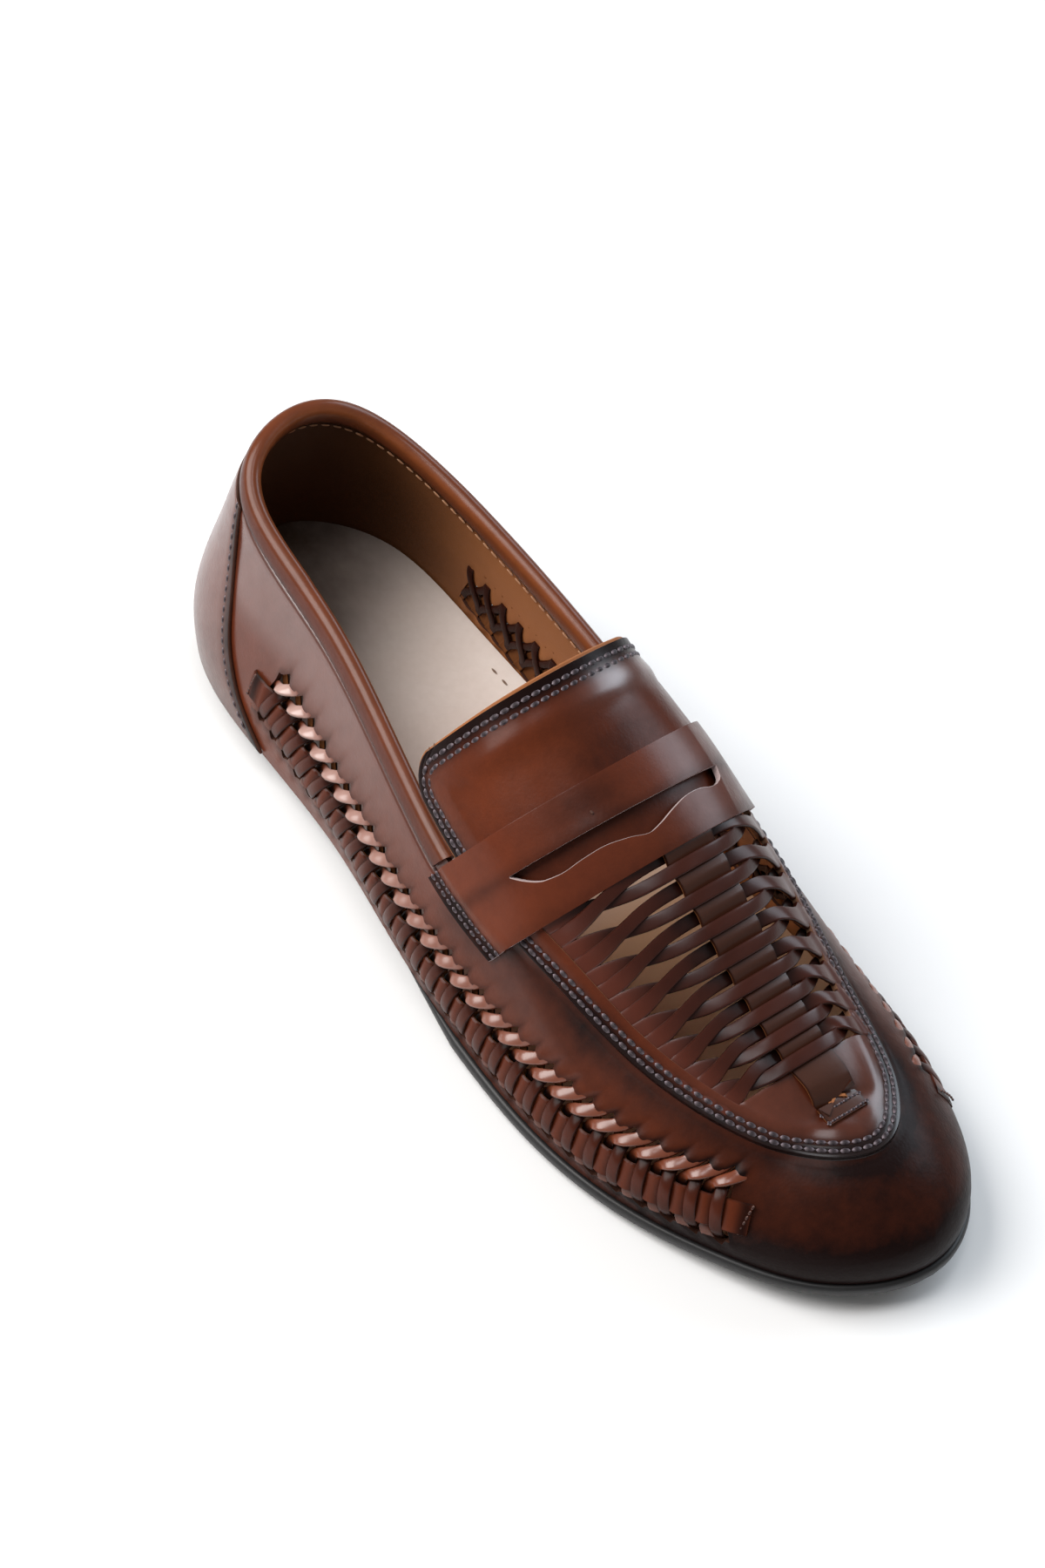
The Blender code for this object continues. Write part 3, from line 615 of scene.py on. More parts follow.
# Darker towards the heel: soiling, and painted shade under the collar
soil_and_shade = 0.97 * (1.0 - smoothstep(16.0, 92.0, x + 0.5 * y))
# Painted shade on the insole under the vamp
vamp_shade = 0.9 * smoothstep(122.0, 165.0, x)
insole = add_piece("insole_cover", insole_points, faces, [insole_leather()], {"soil_and_shade": soil_and_shade, "vamp_shade": vamp_shade})
weld(insole)
round_edges(insole, 0.7, 3, 50.0)
settle(insole)
fit(insole, "insole_leather", "insole")

INSOLE_STITCH = {"rear_x": 74.0, "front_x": 160.0, "from_edge": 5.0}
pale_thread = thread("insole_thread", (0.20, 0.12, 0.08), (0.55, 0.42, 0.33))
edge_x = insole_top[:, -1, 0]
rows_in = (edge_x > INSOLE_STITCH["rear_x"]) & (edge_x < INSOLE_STITCH["front_x"])
inner = 1.0 - INSOLE_STITCH["from_edge"] / width[rows_in]
seam = np.array([[np.interp(s, np.linspace(0, 1, INSOLE_ACROSS), row[:, axis]) for axis in range(3)]
                 for s, row in zip(inner, insole_top[rows_in])])
seam[:, 2] += 0.15
straight_up = np.broadcast_to((0.0, 0.0, 1.0), seam.shape)
stitches("insole_stitches", [(seam, straight_up)], pale_thread, "insole_leather", 4.4, 2.6, 0.7)

# Skirt of the upper
# The lower wall of the moccasin: burnished brown calf on the last, lined in tan. It is lasted under
# at the feather edge, rolled at the collar, and slit along each side for the plait.

WALL = 1.8
THROAT = 0.4475
STRAP_REAR = 0.42
STRAP_FRONT = 0.505
SIDE_UNITS = 28
SIDE_START = 75.6
SIDE_PITCH = 7.14
SIDE_COLUMNS = 10
TAB_RISE_X = (50.0, 73.0, 113.0, 156.0, 239.0)
TAB_RISE = (29.0, 24.2, 21.6, 19.4, 20.4)
SLIT_FOOT = -15.6
STRETCH = (1.0, 1.04, 1.19, 1.06, 1.08)
SLIT_HEAD = 3.4
# The outer slits widen once in each pitch, at the head and at the foot; the inner ones lie closed
SLIT_NOTCH = {"phase": 0.42, "high": 3.0}
SLIT_HOLE = {"phase": 0.57, "deep": 2.6}
SLIT_REACH = 0.26
MEDIAL_HEAD = 0.4
MEDIAL_FOOT = 3.6
COLLAR_GROOVE = 6.3
LINING_ROW = 8.5
# Lean of the strips towards the toe, in pitches at the foot of the slits, at units of the plait
LEAN_UNIT = (-8.0, 0.0, 3.5, 11.0, 15.5, 19.5, 26.0, 34.0)
LEAN = (0.0, -0.4, -0.3, 0.45, 0.75, 1.05, 1.35, 0.0)
GIRTH_STEPS = np.linspace(0.0, 1.0, 121)


def girth_lengths(u):
    points = skin(np.asarray(u, float)[:, None], GIRTH_STEPS[None, :])
    steps = np.linalg.norm(np.diff(points, axis=1), axis=2)
    return np.concatenate([np.zeros((len(u), 1)), np.cumsum(steps, axis=1)], axis=1)


def rise_at(u, girth):
    """Rise of the points at girths in millimetres above the feather edge."""
    u, girth = np.broadcast_arrays(np.asarray(u, float), np.asarray(girth, float))
    rises = [np.interp(g, row, GIRTH_STEPS) for g, row in zip(girth.ravel(), girth_lengths(u.ravel()))]
    return np.array(rises).reshape(u.shape)


def girth_at(u, rise):
    return np.array([np.interp(r, GIRTH_STEPS, row) for r, row in zip(rise, girth_lengths(u))])


def side_station(u):
    """Station from heel to toe, the same number on both sides."""
    u = np.mod(np.asarray(u, float), 2.0)
    return np.where(u > 1.0, 2.0 - u, u)


def topline_girth(u):
    return girth_at(u, rise_of_height(u, section(u)[:, TOPLINE]))


def ridge_girth(u):
    return girth_lengths(u)[:, -1]


def tab_girth(u):
    """Girth of the line along which the tabs of the side plait lie."""
    rows = section(u)
    height = rows[:, FEATHER] + np.interp(rows[:, X], TAB_RISE_X, TAB_RISE)
    return girth_at(u, rise_of_height(u, height))


def stretch(u):
    """How far the plait is drawn out below the line of the tabs."""
    return np.interp(section(u)[:, X], TAB_RISE_X, STRETCH)


def tab_arc():
    stations = np.linspace(0.0, 1.0, 401)
    points = skin(stations, rise_at(stations, tab_girth(stations)))
    arc = np.concatenate([[0.0], np.cumsum(np.linalg.norm(np.diff(points, axis=0), axis=1))])
    return arc, stations


arc_lengths, arc_stations = tab_arc()


def at_arc(length):
    """Station at a length along the tabs from the heel back."""
    return np.interp(length, arc_lengths, arc_stations)


def arc_of(station):
    return np.interp(station, arc_stations, arc_lengths)


def leaned(arc, below):
    """Length along the tabs of a place below them, where the strips lean towards the toe."""
    lean = np.interp((arc - SIDE_START) / SIDE_PITCH, LEAN_UNIT, LEAN)
    return arc + SIDE_PITCH * lean * np.clip(below / -SLIT_FOOT, 0.0, 1.2)


def surface(u, girth, lift):
    """Points on the upper at a girth and lift, with the side that they face."""
    u, girth, lift = np.broadcast_arrays(*(np.asarray(v, float) for v in (u, girth, lift)))
    rise = rise_at(u, girth)
    return lifted(u, rise, lift), skin_normal(u, rise)


WARM = (0.165, 0.034, 0.0105)
MID = (0.098, 0.021, 0.0088)
DARK = (0.0085, 0.003, 0.0025)
# Pale tone of a painted highlight along the front lip of the strap's slot
LIP_HIGHLIGHT = (0.58, 0.47, 0.45)


def burnished_leather(name, rough, warm=WARM):
    """Calf dyed warm brown and burnished towards black by hand, waxed, with a fine grain. Its darkening
    also carries painted shade, and its warm tone painted light.
    """
    finish = Finish(name, {"Specular IOR Level": 0.06, "Coat Roughness": 0.25, "Coat IOR": 2.1})
    place = finish.place()
    cloud = finish.noise(place, 34.0, 4.0, 0.55)
    mottle = finish.noise(place, 260.0, 4.0, 0.6)
    # Darkening towards black: real burnish, and painted shade where the pieces set it
    burnish_and_shade = (finish.value_of("burnish_and_shade") + (cloud - 0.5) * 0.7 + (mottle - 0.5) * 0.35).clamped()
    # Warmer tone: partly the leather's own, partly painted light where the pieces set it
    warmth_and_light = (finish.value_of("warmth_and_light") + (cloud - 0.5) * 0.5).clamped()
    tone = finish.mix(burnish_and_shade, finish.mix(warmth_and_light, MID, warm), DARK)
    # Pale mix: a painted highlight along the front lip of the strap's slot
    finish.set("Base Color", finish.mix(finish.value_of("lip_highlight"), tone, LIP_HIGHLIGHT))
    finish.set("Roughness", (rough + (mottle - 0.5) * 0.18).clamped())
    sheen = finish.value_of("polish") * (0.6 + cloud * 0.8) * (1.0 - burnish_and_shade * 0.7)
    finish.set("Coat Weight", sheen.clamped())
    pebbles = finish.cells(place, 1250.0, "SMOOTH_F1")
    pores = finish.noise(place, 2600.0, 2.0)
    fine = finish.bump(pebbles * 0.8 + pores * 0.35, 0.3, 0.00016)
    finish.set("Normal", finish.bump(mottle, 0.16, 0.0007, fine))
    return finish.material


def tan_lining():
    """Tan lining leather, matt and soft."""
    finish = Finish("tan_lining", {"Specular IOR Level": 0.2})
    place = finish.place()
    cloud = finish.noise(place, 30.0, 4.0, 0.6)
    tone = finish.mix(cloud, (0.24, 0.082, 0.025), (0.40, 0.155, 0.058))
    finish.set("Base Color", finish.mix(finish.value_of("shade"), tone, (0.03, 0.0105, 0.003)))
    finish.set("Roughness", 0.48 + cloud * 0.2)
    finish.set("Normal", finish.bump(finish.cells(place, 1500.0), 0.2, 0.00012))
    return finish.material


def cut_edge(name, colour, fleck):
    """Raw cut edge of leather: fibres of two tones."""
    finish = Finish(name, {"Specular IOR Level": 0.3, "Roughness": 0.65})
    fibre = finish.noise(finish.place(), 1800.0, 3.0)
    finish.set("Base Color", finish.mix(fibre, colour, fleck))
    finish.set("Normal", finish.bump(fibre, 0.4, 0.0002))
    return finish.material


skirt_finish = burnished_leather("brown_leather", 0.38)
lining_finish = tan_lining()
dark_edge = cut_edge("dark_cut_edge", (0.030, 0.010, 0.006), (0.085, 0.030, 0.016))

band_arc = SIDE_START + SIDE_PITCH * np.arange(SIDE_UNITS * SIDE_COLUMNS + 1) / SIDE_COLUMNS
half_arc = np.concatenate([np.linspace(0.0, SIDE_START - 1.2, 36), band_arc,
                           np.linspace(band_arc[-1] + 1.2, arc_lengths[-1], 30)])
skirt_u = both_sides(at_arc(half_arc))
skirt_arc = np.concatenate([half_arc, half_arc[-2:0:-1]])
in_band = (skirt_arc > SIDE_START - 0.01) & (skirt_arc < band_arc[-1] + 0.01)
phase = np.mod((skirt_arc - SIDE_START) / SIDE_PITCH, 1.0)
tabs = tab_girth(skirt_u)
top = topline_girth(skirt_u)
station = side_station(skirt_u)
on_medial = skirt_u > 1.0


def widened(middle):
    """Share of the widening of the outer slits, 1 where the phase is at its middle."""
    return in_band * ~on_medial * np.clip(1.0 - np.abs(phase - middle) / SLIT_REACH, 0.0, 1.0)


slit_foot = tabs + SLIT_FOOT * stretch(skirt_u) + np.where(on_medial, MEDIAL_FOOT, 0.0)
slit_foot -= SLIT_HOLE["deep"] * widened(SLIT_HOLE["phase"])
slit_head = tabs + np.where(on_medial, MEDIAL_HEAD, SLIT_HEAD)
slit_head += SLIT_NOTCH["high"] * widened(SLIT_NOTCH["phase"])
collar_part = 1.0 - smoothstep(STRAP_REAR - 0.01, STRAP_REAR + 0.02, station)
seam_part = smoothstep(THROAT - 0.02, THROAT + 0.01, station)

LOWER_SHARES = (0.0, 0.1, 0.25, 0.45, 0.65, 0.82, 0.93, 1.0)
BAND_SHARES = (0.2, 0.4, 0.6, 0.8, 1.0)
UPPER_SHARES = (0.06, 0.16, 0.3, 0.46, 0.64, 0.82, 1.0)
FROM_TOP = (8.2, 7.4, 6.9, 6.5, 6.1, 5.7, 5.2, 4.4, 3.2, 2.0, 1.0, 0.4, 0.0)
girths = [slit_foot * share for share in LOWER_SHARES]
girths += [slit_foot + (slit_head - slit_foot) * share for share in BAND_SHARES]
upper_end = np.maximum(top - 9.2, slit_head + 1.0)
girths += [slit_head + (upper_end - slit_head) * share for share in UPPER_SHARES]
girths += [np.maximum(top - depth, slit_head + 1.2) for depth in FROM_TOP]
girths += [top + 2.4 * seam_part]
girths = np.array(girths)
from_top = top - girths
lift = -0.5 * hump(from_top - COLLAR_GROOVE, 0.75) * collar_part
lift += 0.35 * hump(from_top - 8.6, 1.6) * collar_part
lift += (0.15 * hump(from_top - 8.0, 4.5) - 0.2 * hump(from_top + 0.6, 1.4)) * seam_part
lift += in_band * 0.35 * np.cos(2.0 * math.pi * (phase - 0.9)) * hump(girths - slit_head - 0.8, 2.6)
lift += in_band * 0.35 * np.cos(2.0 * math.pi * (phase - 0.1)) * hump(girths - slit_foot + 0.8, 2.0)
lift += 0.7 * hump(skirt_arc - 62.0, 13.0) * hump(girths - tabs - 13.0, 9.0)
leaned_u = at_arc(leaned(skirt_arc, (tabs - girths) / stretch(skirt_u)))
skirt_points = surface(np.where(on_medial, 2.0 - leaned_u, leaned_u), girths, lift)[0]

x, z = skirt_points[..., 0], skirt_points[..., 2]
# Darker along the apron seam: burnish, and painted shade under the apron's edge
burnish_and_shade = 0.15 + (0.6 * hump(from_top, 5.0) + 0.35 * hump(from_top - 9.0, 7.0)) * seam_part
# Painted shade along the heads and feet of the slits, and a little darker below the plait
burnish_and_shade += 0.42 * in_band * (hump(girths - slit_head, 2.2) + hump(girths - slit_foot, 2.2))
burnish_and_shade += 0.12 * in_band * smoothstep(-1.0, 1.5, slit_foot - girths)
# Painted shade in the groove under the collar
burnish_and_shade += 0.35 * hump(from_top - COLLAR_GROOVE, 1.2) * collar_part
# Burnished toe, darker towards the bottom, and darker along the feather edge from the waist forward
toe_dark = smoothstep(196.0, 285.0, x) * (1.0 - smoothstep(10.0, 36.0, z))
burnish_and_shade += 1.1 * toe_dark + 0.3 * smoothstep(225.0, 290.0, x)
burnish_and_shade += 0.25 * hump(z - section(skirt_u)[:, FEATHER], 3.0) * smoothstep(90.0, 150.0, x)
# Warmer below the plait towards the heel, and on the vamp beside the seam
warmth_and_light = 0.25 + 0.5 * hump(girths - slit_foot + 5.0, 6.0) * (1.0 - smoothstep(120.0, 170.0, x))
warmth_and_light += 0.4 * hump(x - 205.0, 40.0) * hump(from_top - 12.0, 9.0)
polish = 0.95 - 0.65 * smoothstep(60.0, 150.0, x) - 0.22 * smoothstep(185.0, 245.0, x)
polish = polish * (1.0 - 0.6 * smoothstep(4.0, 18.0, slit_head + 16.0 - girths))
keep = np.ones((len(girths) - 1, len(skirt_u)), bool)
band_rows = slice(len(LOWER_SHARES) - 1, len(LOWER_SHARES) + len(BAND_SHARES) - 1)
keep[band_rows] = ~(in_band & np.roll(in_band, -1))[None, :]
skirt = add_piece("upper_skirt", skirt_points, grid_faces(len(girths), len(skirt_u), True, keep),
                  [skirt_finish, lining_finish, dark_edge],
                  {"burnish_and_shade": burnish_and_shade, "warmth_and_light": warmth_and_light, "polish": polish,
                   "shade": 0.85 * (1.0 - smoothstep(14.0, 78.0, x))})
weld(skirt, 0.004)


def thicken(piece, wall, bevel=0.0):
    """Wall of a sheet: face, back and cut edge take the piece's three finishes."""
    shell = piece.modifiers.new("wall", "SOLIDIFY")
    shell.thickness = wall * MM
    shell.offset = -1.0
    shell.material_offset = 1
    shell.material_offset_rim = 2
    if bevel:
        round_edges(piece, bevel, 2, 60.0)
    settle(piece)


thicken(skirt, WALL)
fit(skirt, "brown_leather", "upper")

# Rows of thread on the skirt
# Two rows of waxed thread, sewn by machine through the wall. One sinks into the groove under the
# collar, and a paler one holds the lining on the inside.

collar_thread = thread("collar_thread", (0.035, 0.016, 0.014), (0.34, 0.23, 0.21))
lining_thread = thread("lining_thread", (0.42, 0.20, 0.10), (0.72, 0.46, 0.30))


def collar_line(end, samples):
    """Stations along the collar from its lateral end round the heel to the medial one."""
    return np.concatenate([np.linspace(end, 0.0, samples), 2.0 - np.linspace(0.0, end, samples)[1:]])


collar_u = collar_line(STRAP_REAR - 0.004, 160)
collar_top = topline_girth(collar_u)
collar_row = surface(collar_u, collar_top - COLLAR_GROOVE, -0.2)
stitches("collar_stitches", [collar_row], collar_thread, "brown_leather", 3.0, 2.3, 1.0)
inside_row, inside_facing = surface(collar_u, collar_top - LINING_ROW, -WALL - 0.1)
stitches("lining_stitches", [(inside_row, -inside_facing)], lining_thread, "brown_leather", 3.4, 2.5, 0.7)

# Side plaits
# The slits leave strips in pairs. In each pair one strip is folded over the other, and a flat lace
# runs through all the pairs, over the first strip and under the second, and is sewn down at its ends.


def strip_tree():
    """Flat strip of leather with round edges and a crowned face along every path."""
    inputs = (("Width", "Float"), ("Thickness", "Float"), ("Crown", "Float"), ("Finish", "Material"))
    tree, given, result, add, sums = node_tree("plait_strip", inputs)
    profile = add("GeometryNodeCurvePrimitiveQuadrilateral", None,
                  width=given["Thickness"], height=given["Width"])
    profile = add("GeometryNodeFilletCurve", {"mode": "POLY"}, curve=profile, count=3,
                  radius=sums("MULTIPLY", given["Thickness"], 0.3), limit_radius=True)
    profile = add("GeometryNodeResampleCurve", {"mode": "COUNT"}, curve=profile, count=26)
    apart = add("ShaderNodeSeparateXYZ", None, vector=add("GeometryNodeInputPosition"))
    across = sums("DIVIDE", apart.node.outputs["Y"], given["Width"])
    face = sums("DIVIDE", apart, given["Thickness"])
    arch = sums("MULTIPLY", sums("MULTIPLY", sums("MULTIPLY", across, across), -4.0), given["Crown"])
    for label, value in (("strip_face", face), ("strip_across", across)):
        profile = add("GeometryNodeStoreNamedAttribute", {"data_type": "FLOAT", "domain": "POINT"},
                      geometry=profile, name=label, value=value)
    arch = add("ShaderNodeCombineXYZ", None, x=arch)
    profile = add("GeometryNodeSetPosition", None, geometry=profile, offset=arch)
    path = add("GeometryNodeMeshToCurve", None, mesh=given["Geometry"])
    facing = add("GeometryNodeInputNamedAttribute", {"data_type": "FLOAT_VECTOR"}, name="facing")
    path = add("GeometryNodeSetCurveNormal", {"mode": "FREE"}, curve=path, normal=facing)
    spread = add("GeometryNodeInputNamedAttribute", {"data_type": "FLOAT"}, name="spread")
    strip = add("GeometryNodeCurveToMesh", None, curve=path, profile_curve=profile, scale=spread,
                fill_caps=True)
    strip = add("GeometryNodeRealizeInstances", None, geometry=strip)
    strip = add("GeometryNodeSetMaterial", None, geometry=strip, material=given["Finish"])
    tree.links.new(strip, result["Geometry"])
    return tree


PLAIT_STRIP = strip_tree()


def strips(name, paths, finish, sizes, burnish_and_shade, spread=1.0, fold_highlight=0.0):
    """Strips along paths of one length: their width, thickness and crown, and numbers for each point."""
    shape = (len(paths), len(paths[0][0]))
    numbers = {"burnish_and_shade": burnish_and_shade, "spread": spread, "fold_highlight": fold_highlight}
    piece = guide(name, paths, {key: np.broadcast_to(value, shape).ravel() for key, value in numbers.items()})
    width, thickness, crown = (size * MM for size in sizes)
    run_tree(piece, PLAIT_STRIP, {"Width": width, "Thickness": thickness, "Crown": crown, "Finish": finish})
    fit(piece, "brown_leather")


STRIP_BACK = (0.19, 0.07, 0.025)
# Pale tone of the painted highlight on folded tabs
FOLD_HIGHLIGHT_COLOUR = (0.60, 0.41, 0.36)


def strip_leather(name, warm, mid, gloss):
    """The same calf cut in strips: dyed on its face, tan on its back, with dark cut edges, a painted
    highlight on folded tabs and painted shade where strips pass under.
    """
    finish = Finish(name, {"Specular IOR Level": 0.04, "Coat Roughness": 0.27, "Coat IOR": 2.0})
    place = finish.place()
    cloud = finish.noise(place, 90.0, 4.0)
    burnish_and_shade = (finish.value_of("burnish_and_shade") + (cloud - 0.5) * 0.5).clamped()
    tone = finish.mix(burnish_and_shade, finish.mix(cloud, mid, warm), DARK)
    # Painted highlight on the folds of the tabs
    tone = finish.mix(finish.value_of("fold_highlight") * (0.6 + cloud * 0.6), tone, FOLD_HIGHLIGHT_COLOUR)
    edge = (abs(finish.value_of("strip_across")) * 14.0 - 6.2).clamped()
    tone = finish.mix(edge * 0.7, tone, DARK)
    behind = (0.5 - finish.value_of("strip_face") * 8.0 - 2.0).clamped()
    finish.set("Base Color", finish.mix(behind, tone, STRIP_BACK))
    finish.set("Roughness", (0.33 + (cloud - 0.5) * 0.2 + behind * 0.25).clamped())
    finish.set("Coat Weight", (gloss - burnish_and_shade * (0.8 * gloss) - behind * gloss).clamped())
    grain = finish.cells(place, 1400.0, "SMOOTH_F1")
    finish.set("Normal", finish.bump(grain + finish.noise(place, 2400.0, 2.0) * 0.4, 0.22, 0.00014))
    return finish.material


# Tabs and rungs are the same calf: the tabs' finish is lighter with painted light, the rungs' darker with
# painted shade
lit_side_tab_finish = strip_leather("lit_side_tab_leather", (0.2, 0.044, 0.014), (0.14, 0.032, 0.012), 0.55)
shaded_side_rung_finish = strip_leather("shaded_side_rung_leather", (0.08, 0.015, 0.005), (0.05, 0.0095, 0.0035), 0.14)
side_lace_finish = strip_leather("side_lace_leather", (0.13, 0.026, 0.0085), (0.09, 0.018, 0.0065), 0.1)

# Paths in one unit of the plait: girth from the line of the tabs, share of the pitch, lift and tilt
TAB_PATH = ((8.0, 0.94, -1.2, 0), (5.8, 0.94, -0.55, 0), (4.0, 0.9, -0.3, 6), (2.6, 0.76, 0.5, 22),
            (1.3, 0.54, 1.15, 34), (0.1, 0.34, 0.8, 34), (-1.2, 0.18, -0.3, 16), (-3.0, 0.08, -1.2, 0),
            (-7.5, 0.0, -1.6, 0), (-11.5, 0.02, -1.3, 0), (-13.8, 0.05, -0.5, 0), (-15.4, 0.07, -0.2, 0),
            (-16.8, 0.08, -0.4, 0), (-18.4, 0.08, -1.2, 0))
RUNG_PATH = ((4.4, 0.76, -2.4, 0), (2.6, 0.73, -2.0, 0), (0.8, 0.69, -1.1, 0), (-0.8, 0.65, 0.0, 4),
             (-2.4, 0.63, 0.9, 8), (-4.6, 0.61, 1.6, 10), (-7.4, 0.6, 1.8, 8), (-10.6, 0.59, 1.5, 4),
             (-13.2, 0.58, 0.8, 0), (-15.0, 0.57, -0.3, 0), (-16.6, 0.57, -1.7, 0), (-18.0, 0.57, -2.8, 0))
SIDE_SAMPLES = 30
TAB_SIZES = (3.3, 0.95, 0.3)
RUNG_SIZES = (3.7, 0.95, 0.35)
SIDE_LACE_SIZES = (9.0, 1.1, 0.25)
TAB_TURN = (1.8, 1.0)
TAB_TURN_UNITS = (0.0, 16.0)


def on_side(station, medial):
    return 2.0 - station if medial else station


def tilted(points, facing, degrees):
    """Turns the facing of a path about its own run."""
    run = unit(np.gradient(points, axis=0))
    across = unit(np.cross(run, facing))
    angle = np.radians(degrees)[:, None]
    return facing * np.cos(angle) + across * np.sin(angle)


def side_strip(unit_index, path, medial):
    knots = np.linspace(0.0, 1.0, len(path))
    girth, share, lift, tilt = flowing(knots, path, np.linspace(0.0, 1.0, SIDE_SAMPLES)).T
    lift = np.maximum(lift * 0.35, -0.5) - 0.4 if medial else lift
    u = on_side(at_arc(leaned(SIDE_START + SIDE_PITCH * (unit_index + share), -girth)), medial)
    girth = np.where(girth < 0.0, girth * stretch(u), girth)
    points, facing = surface(u, np.maximum(tab_girth(u) + girth, 0.3), lift)
    turn = 0.0 if medial else np.interp(unit_index, TAB_TURN_UNITS, TAB_TURN)
    return points, tilted(points, facing, turn * tilt)


def side_strips(path):
    return [side_strip(i, path, medial) for medial in (False, True) for i in range(SIDE_UNITS)]


def along_strip(ways, values, samples=SIDE_SAMPLES):
    """Values at the points of a strip, given at ways along it from 0 to 1."""
    return np.interp(np.linspace(0.0, 1.0, samples), ways, values)


# Painted shade where the tab passes under the lace
tab_burnish_and_shade = along_strip((0.0, 0.12, 0.3, 0.45, 0.55, 0.7, 0.8, 1.0),
                          (0.2, 0.15, 0.0, 0.2, 1.0, 1.0, 0.5, 0.4))
tab_spread = along_strip((0.0, 0.12, 0.2, 0.3, 0.42, 0.5, 1.0), (1.6, 1.4, 1.1, 1.08, 0.8, 0.9, 1.1))
# Painted highlight on each tab's fold, strongest towards the heel
tab_fold_highlight = along_strip((0.1, 0.18, 0.28, 0.38, 0.46), (0.0, 0.7, 1.0, 0.8, 0.0))
fold_highlight_share = np.tile(np.interp(np.arange(SIDE_UNITS), (0, 9, 18, 27), (0.85, 0.34, 0.08, 0.0)), 2)
strips("side_tabs", side_strips(TAB_PATH), lit_side_tab_finish, TAB_SIZES, tab_burnish_and_shade, tab_spread,
       np.outer(fold_highlight_share, tab_fold_highlight))
# Painted shade at the rung's ends, where it passes under
rung_burnish_and_shade = along_strip((0.0, 0.3, 0.42, 0.55, 0.68, 0.8, 1.0), (1.0, 0.9, 0.35, 0.05, 0.35, 0.9, 1.0))
rung_spread = along_strip((0.0, 0.3, 0.45, 0.7, 0.85, 1.0), (0.8, 0.9, 1.0, 0.95, 0.7, 0.5))
strips("side_rungs", side_strips(RUNG_PATH), shaded_side_rung_finish, RUNG_SIZES, rung_burnish_and_shade, rung_spread)

LACE_GIRTH = -8.0
LACE_PAST = 5.6
LACE_SAMPLES = 420
LACE_SEAM = np.linspace(-3.8, 3.8, 9)
LACE_SEAM_LIFT = 1.15
arcs = np.linspace(SIDE_START - LACE_PAST, band_arc[-1] + LACE_PAST, LACE_SAMPLES)
bared = np.cos(2.0 * math.pi * ((arcs - SIDE_START) / SIDE_PITCH - 0.1))
wave = 0.45 + 0.45 * bared
outside = np.maximum(SIDE_START - arcs, arcs - band_arc[-1])
sewn_lift = np.maximum(wave, 0.1 + 0.75 * smoothstep(-2.0, 1.0, outside))
outer_lift = np.where(outside > -2.0, sewn_lift, wave) - 0.5 * smoothstep(LACE_PAST - 1.6, LACE_PAST, outside)
lace_paths = []
lace_ends = []
for medial in (False, True):
    u = on_side(at_arc(leaned(arcs, -LACE_GIRTH)), medial)
    lace_lift = outer_lift * 0.4 - 0.55 if medial else outer_lift
    lace_paths.append(surface(u, tab_girth(u) + LACE_GIRTH * stretch(u), lace_lift))
    for end in (arcs[0] + 1.0, arcs[-1] - 1.0):
        u = np.full(len(LACE_SEAM), on_side(at_arc(leaned(end, -LACE_GIRTH)), medial))
        lace_ends.append(surface(u, tab_girth(u) + LACE_GIRTH * stretch(u) + LACE_SEAM, LACE_SEAM_LIFT))
# Painted shade where the lace passes under the rungs
strips("side_laces", lace_paths, side_lace_finish, SIDE_LACE_SIZES, 0.15 + 0.4 * (1.0 - bared))
brown_thread = thread("brown_thread", (0.045, 0.018, 0.014), (0.30, 0.16, 0.13))
stitches("side_lace_stitches", lace_ends, brown_thread, "brown_leather", 1.5, 1.3, 0.8)

# Crossings inside the plaits
# On the inside the turned ends of the strips cross in a row of zigzags on the tan lining, dark with
# painted shade. They are the same strips of calf, drawn through the slits and pressed flat.

# Two strokes in each pitch: girth and share of the pitch at both ends, and bow away from the lining
CROSSING_STROKES = (((5.0, -0.1), (-8.6, 0.9), 0.9), ((4.6, 0.9), (-9.4, -0.05), 0.35))
CROSSING_SIZES = (2.4, 0.8, 0.2)
STROKE_STEPS = np.linspace(0.0, 1.0, 12)
crossing_paths = []
for medial in (False, True):
    for i in range(SIDE_UNITS):
        for (high, first), (low, last), bow in CROSSING_STROKES:
            share = first + (last - first) * smoothstep(0.0, 1.0, STROKE_STEPS)
            u = on_side(at_arc(SIDE_START + SIDE_PITCH * (i + share)), medial)
            depth = WALL + 0.15 + bow * np.sin(math.pi * STROKE_STEPS)
            points, facing = surface(u, tab_girth(u) + high + (low - high) * STROKE_STEPS, -depth)
            crossing_paths.append((points, -facing))
# Shaded finish and strong darkening: painted shade inside the shoe
strips("plait_crossings", crossing_paths, shaded_side_rung_finish, CROSSING_SIZES, 0.7)

# Apron and tongue
# One panel of the same calf, lapped over the skirt and sewn through it with two rows of thread. Behind
# the strap it runs on as a free tongue with round corners and a tan edge of lining.

APRON_STEP = 1.2
TONGUE_END = 0.34
TONGUE_CLEAR = 4.2
TONGUE_CORNER = 11.0
SEAM_RUN = 1.8
ROOT_SHARE = 0.2
PLAIT_REAR = 0.499
PLAIT_FRONT = float(np.interp(224.0, station_x, station_grid))
APRON_THICK = 1.7
STITCH_ROWS = (2.3, 4.5)


def apron_begin(u):
    """Girth at which the apron or the tongue begins."""
    station = side_station(u)
    back = arc_of(station) - arc_of(TONGUE_END)
    clear = np.interp(station, (STRAP_REAR, THROAT), (TONGUE_CLEAR, SEAM_RUN))
    inside = np.clip(TONGUE_CORNER - back, 0.0, TONGUE_CORNER)
    return topline_girth(u) + clear + TONGUE_CORNER - np.sqrt(TONGUE_CORNER ** 2 - inside ** 2 * 0.96)


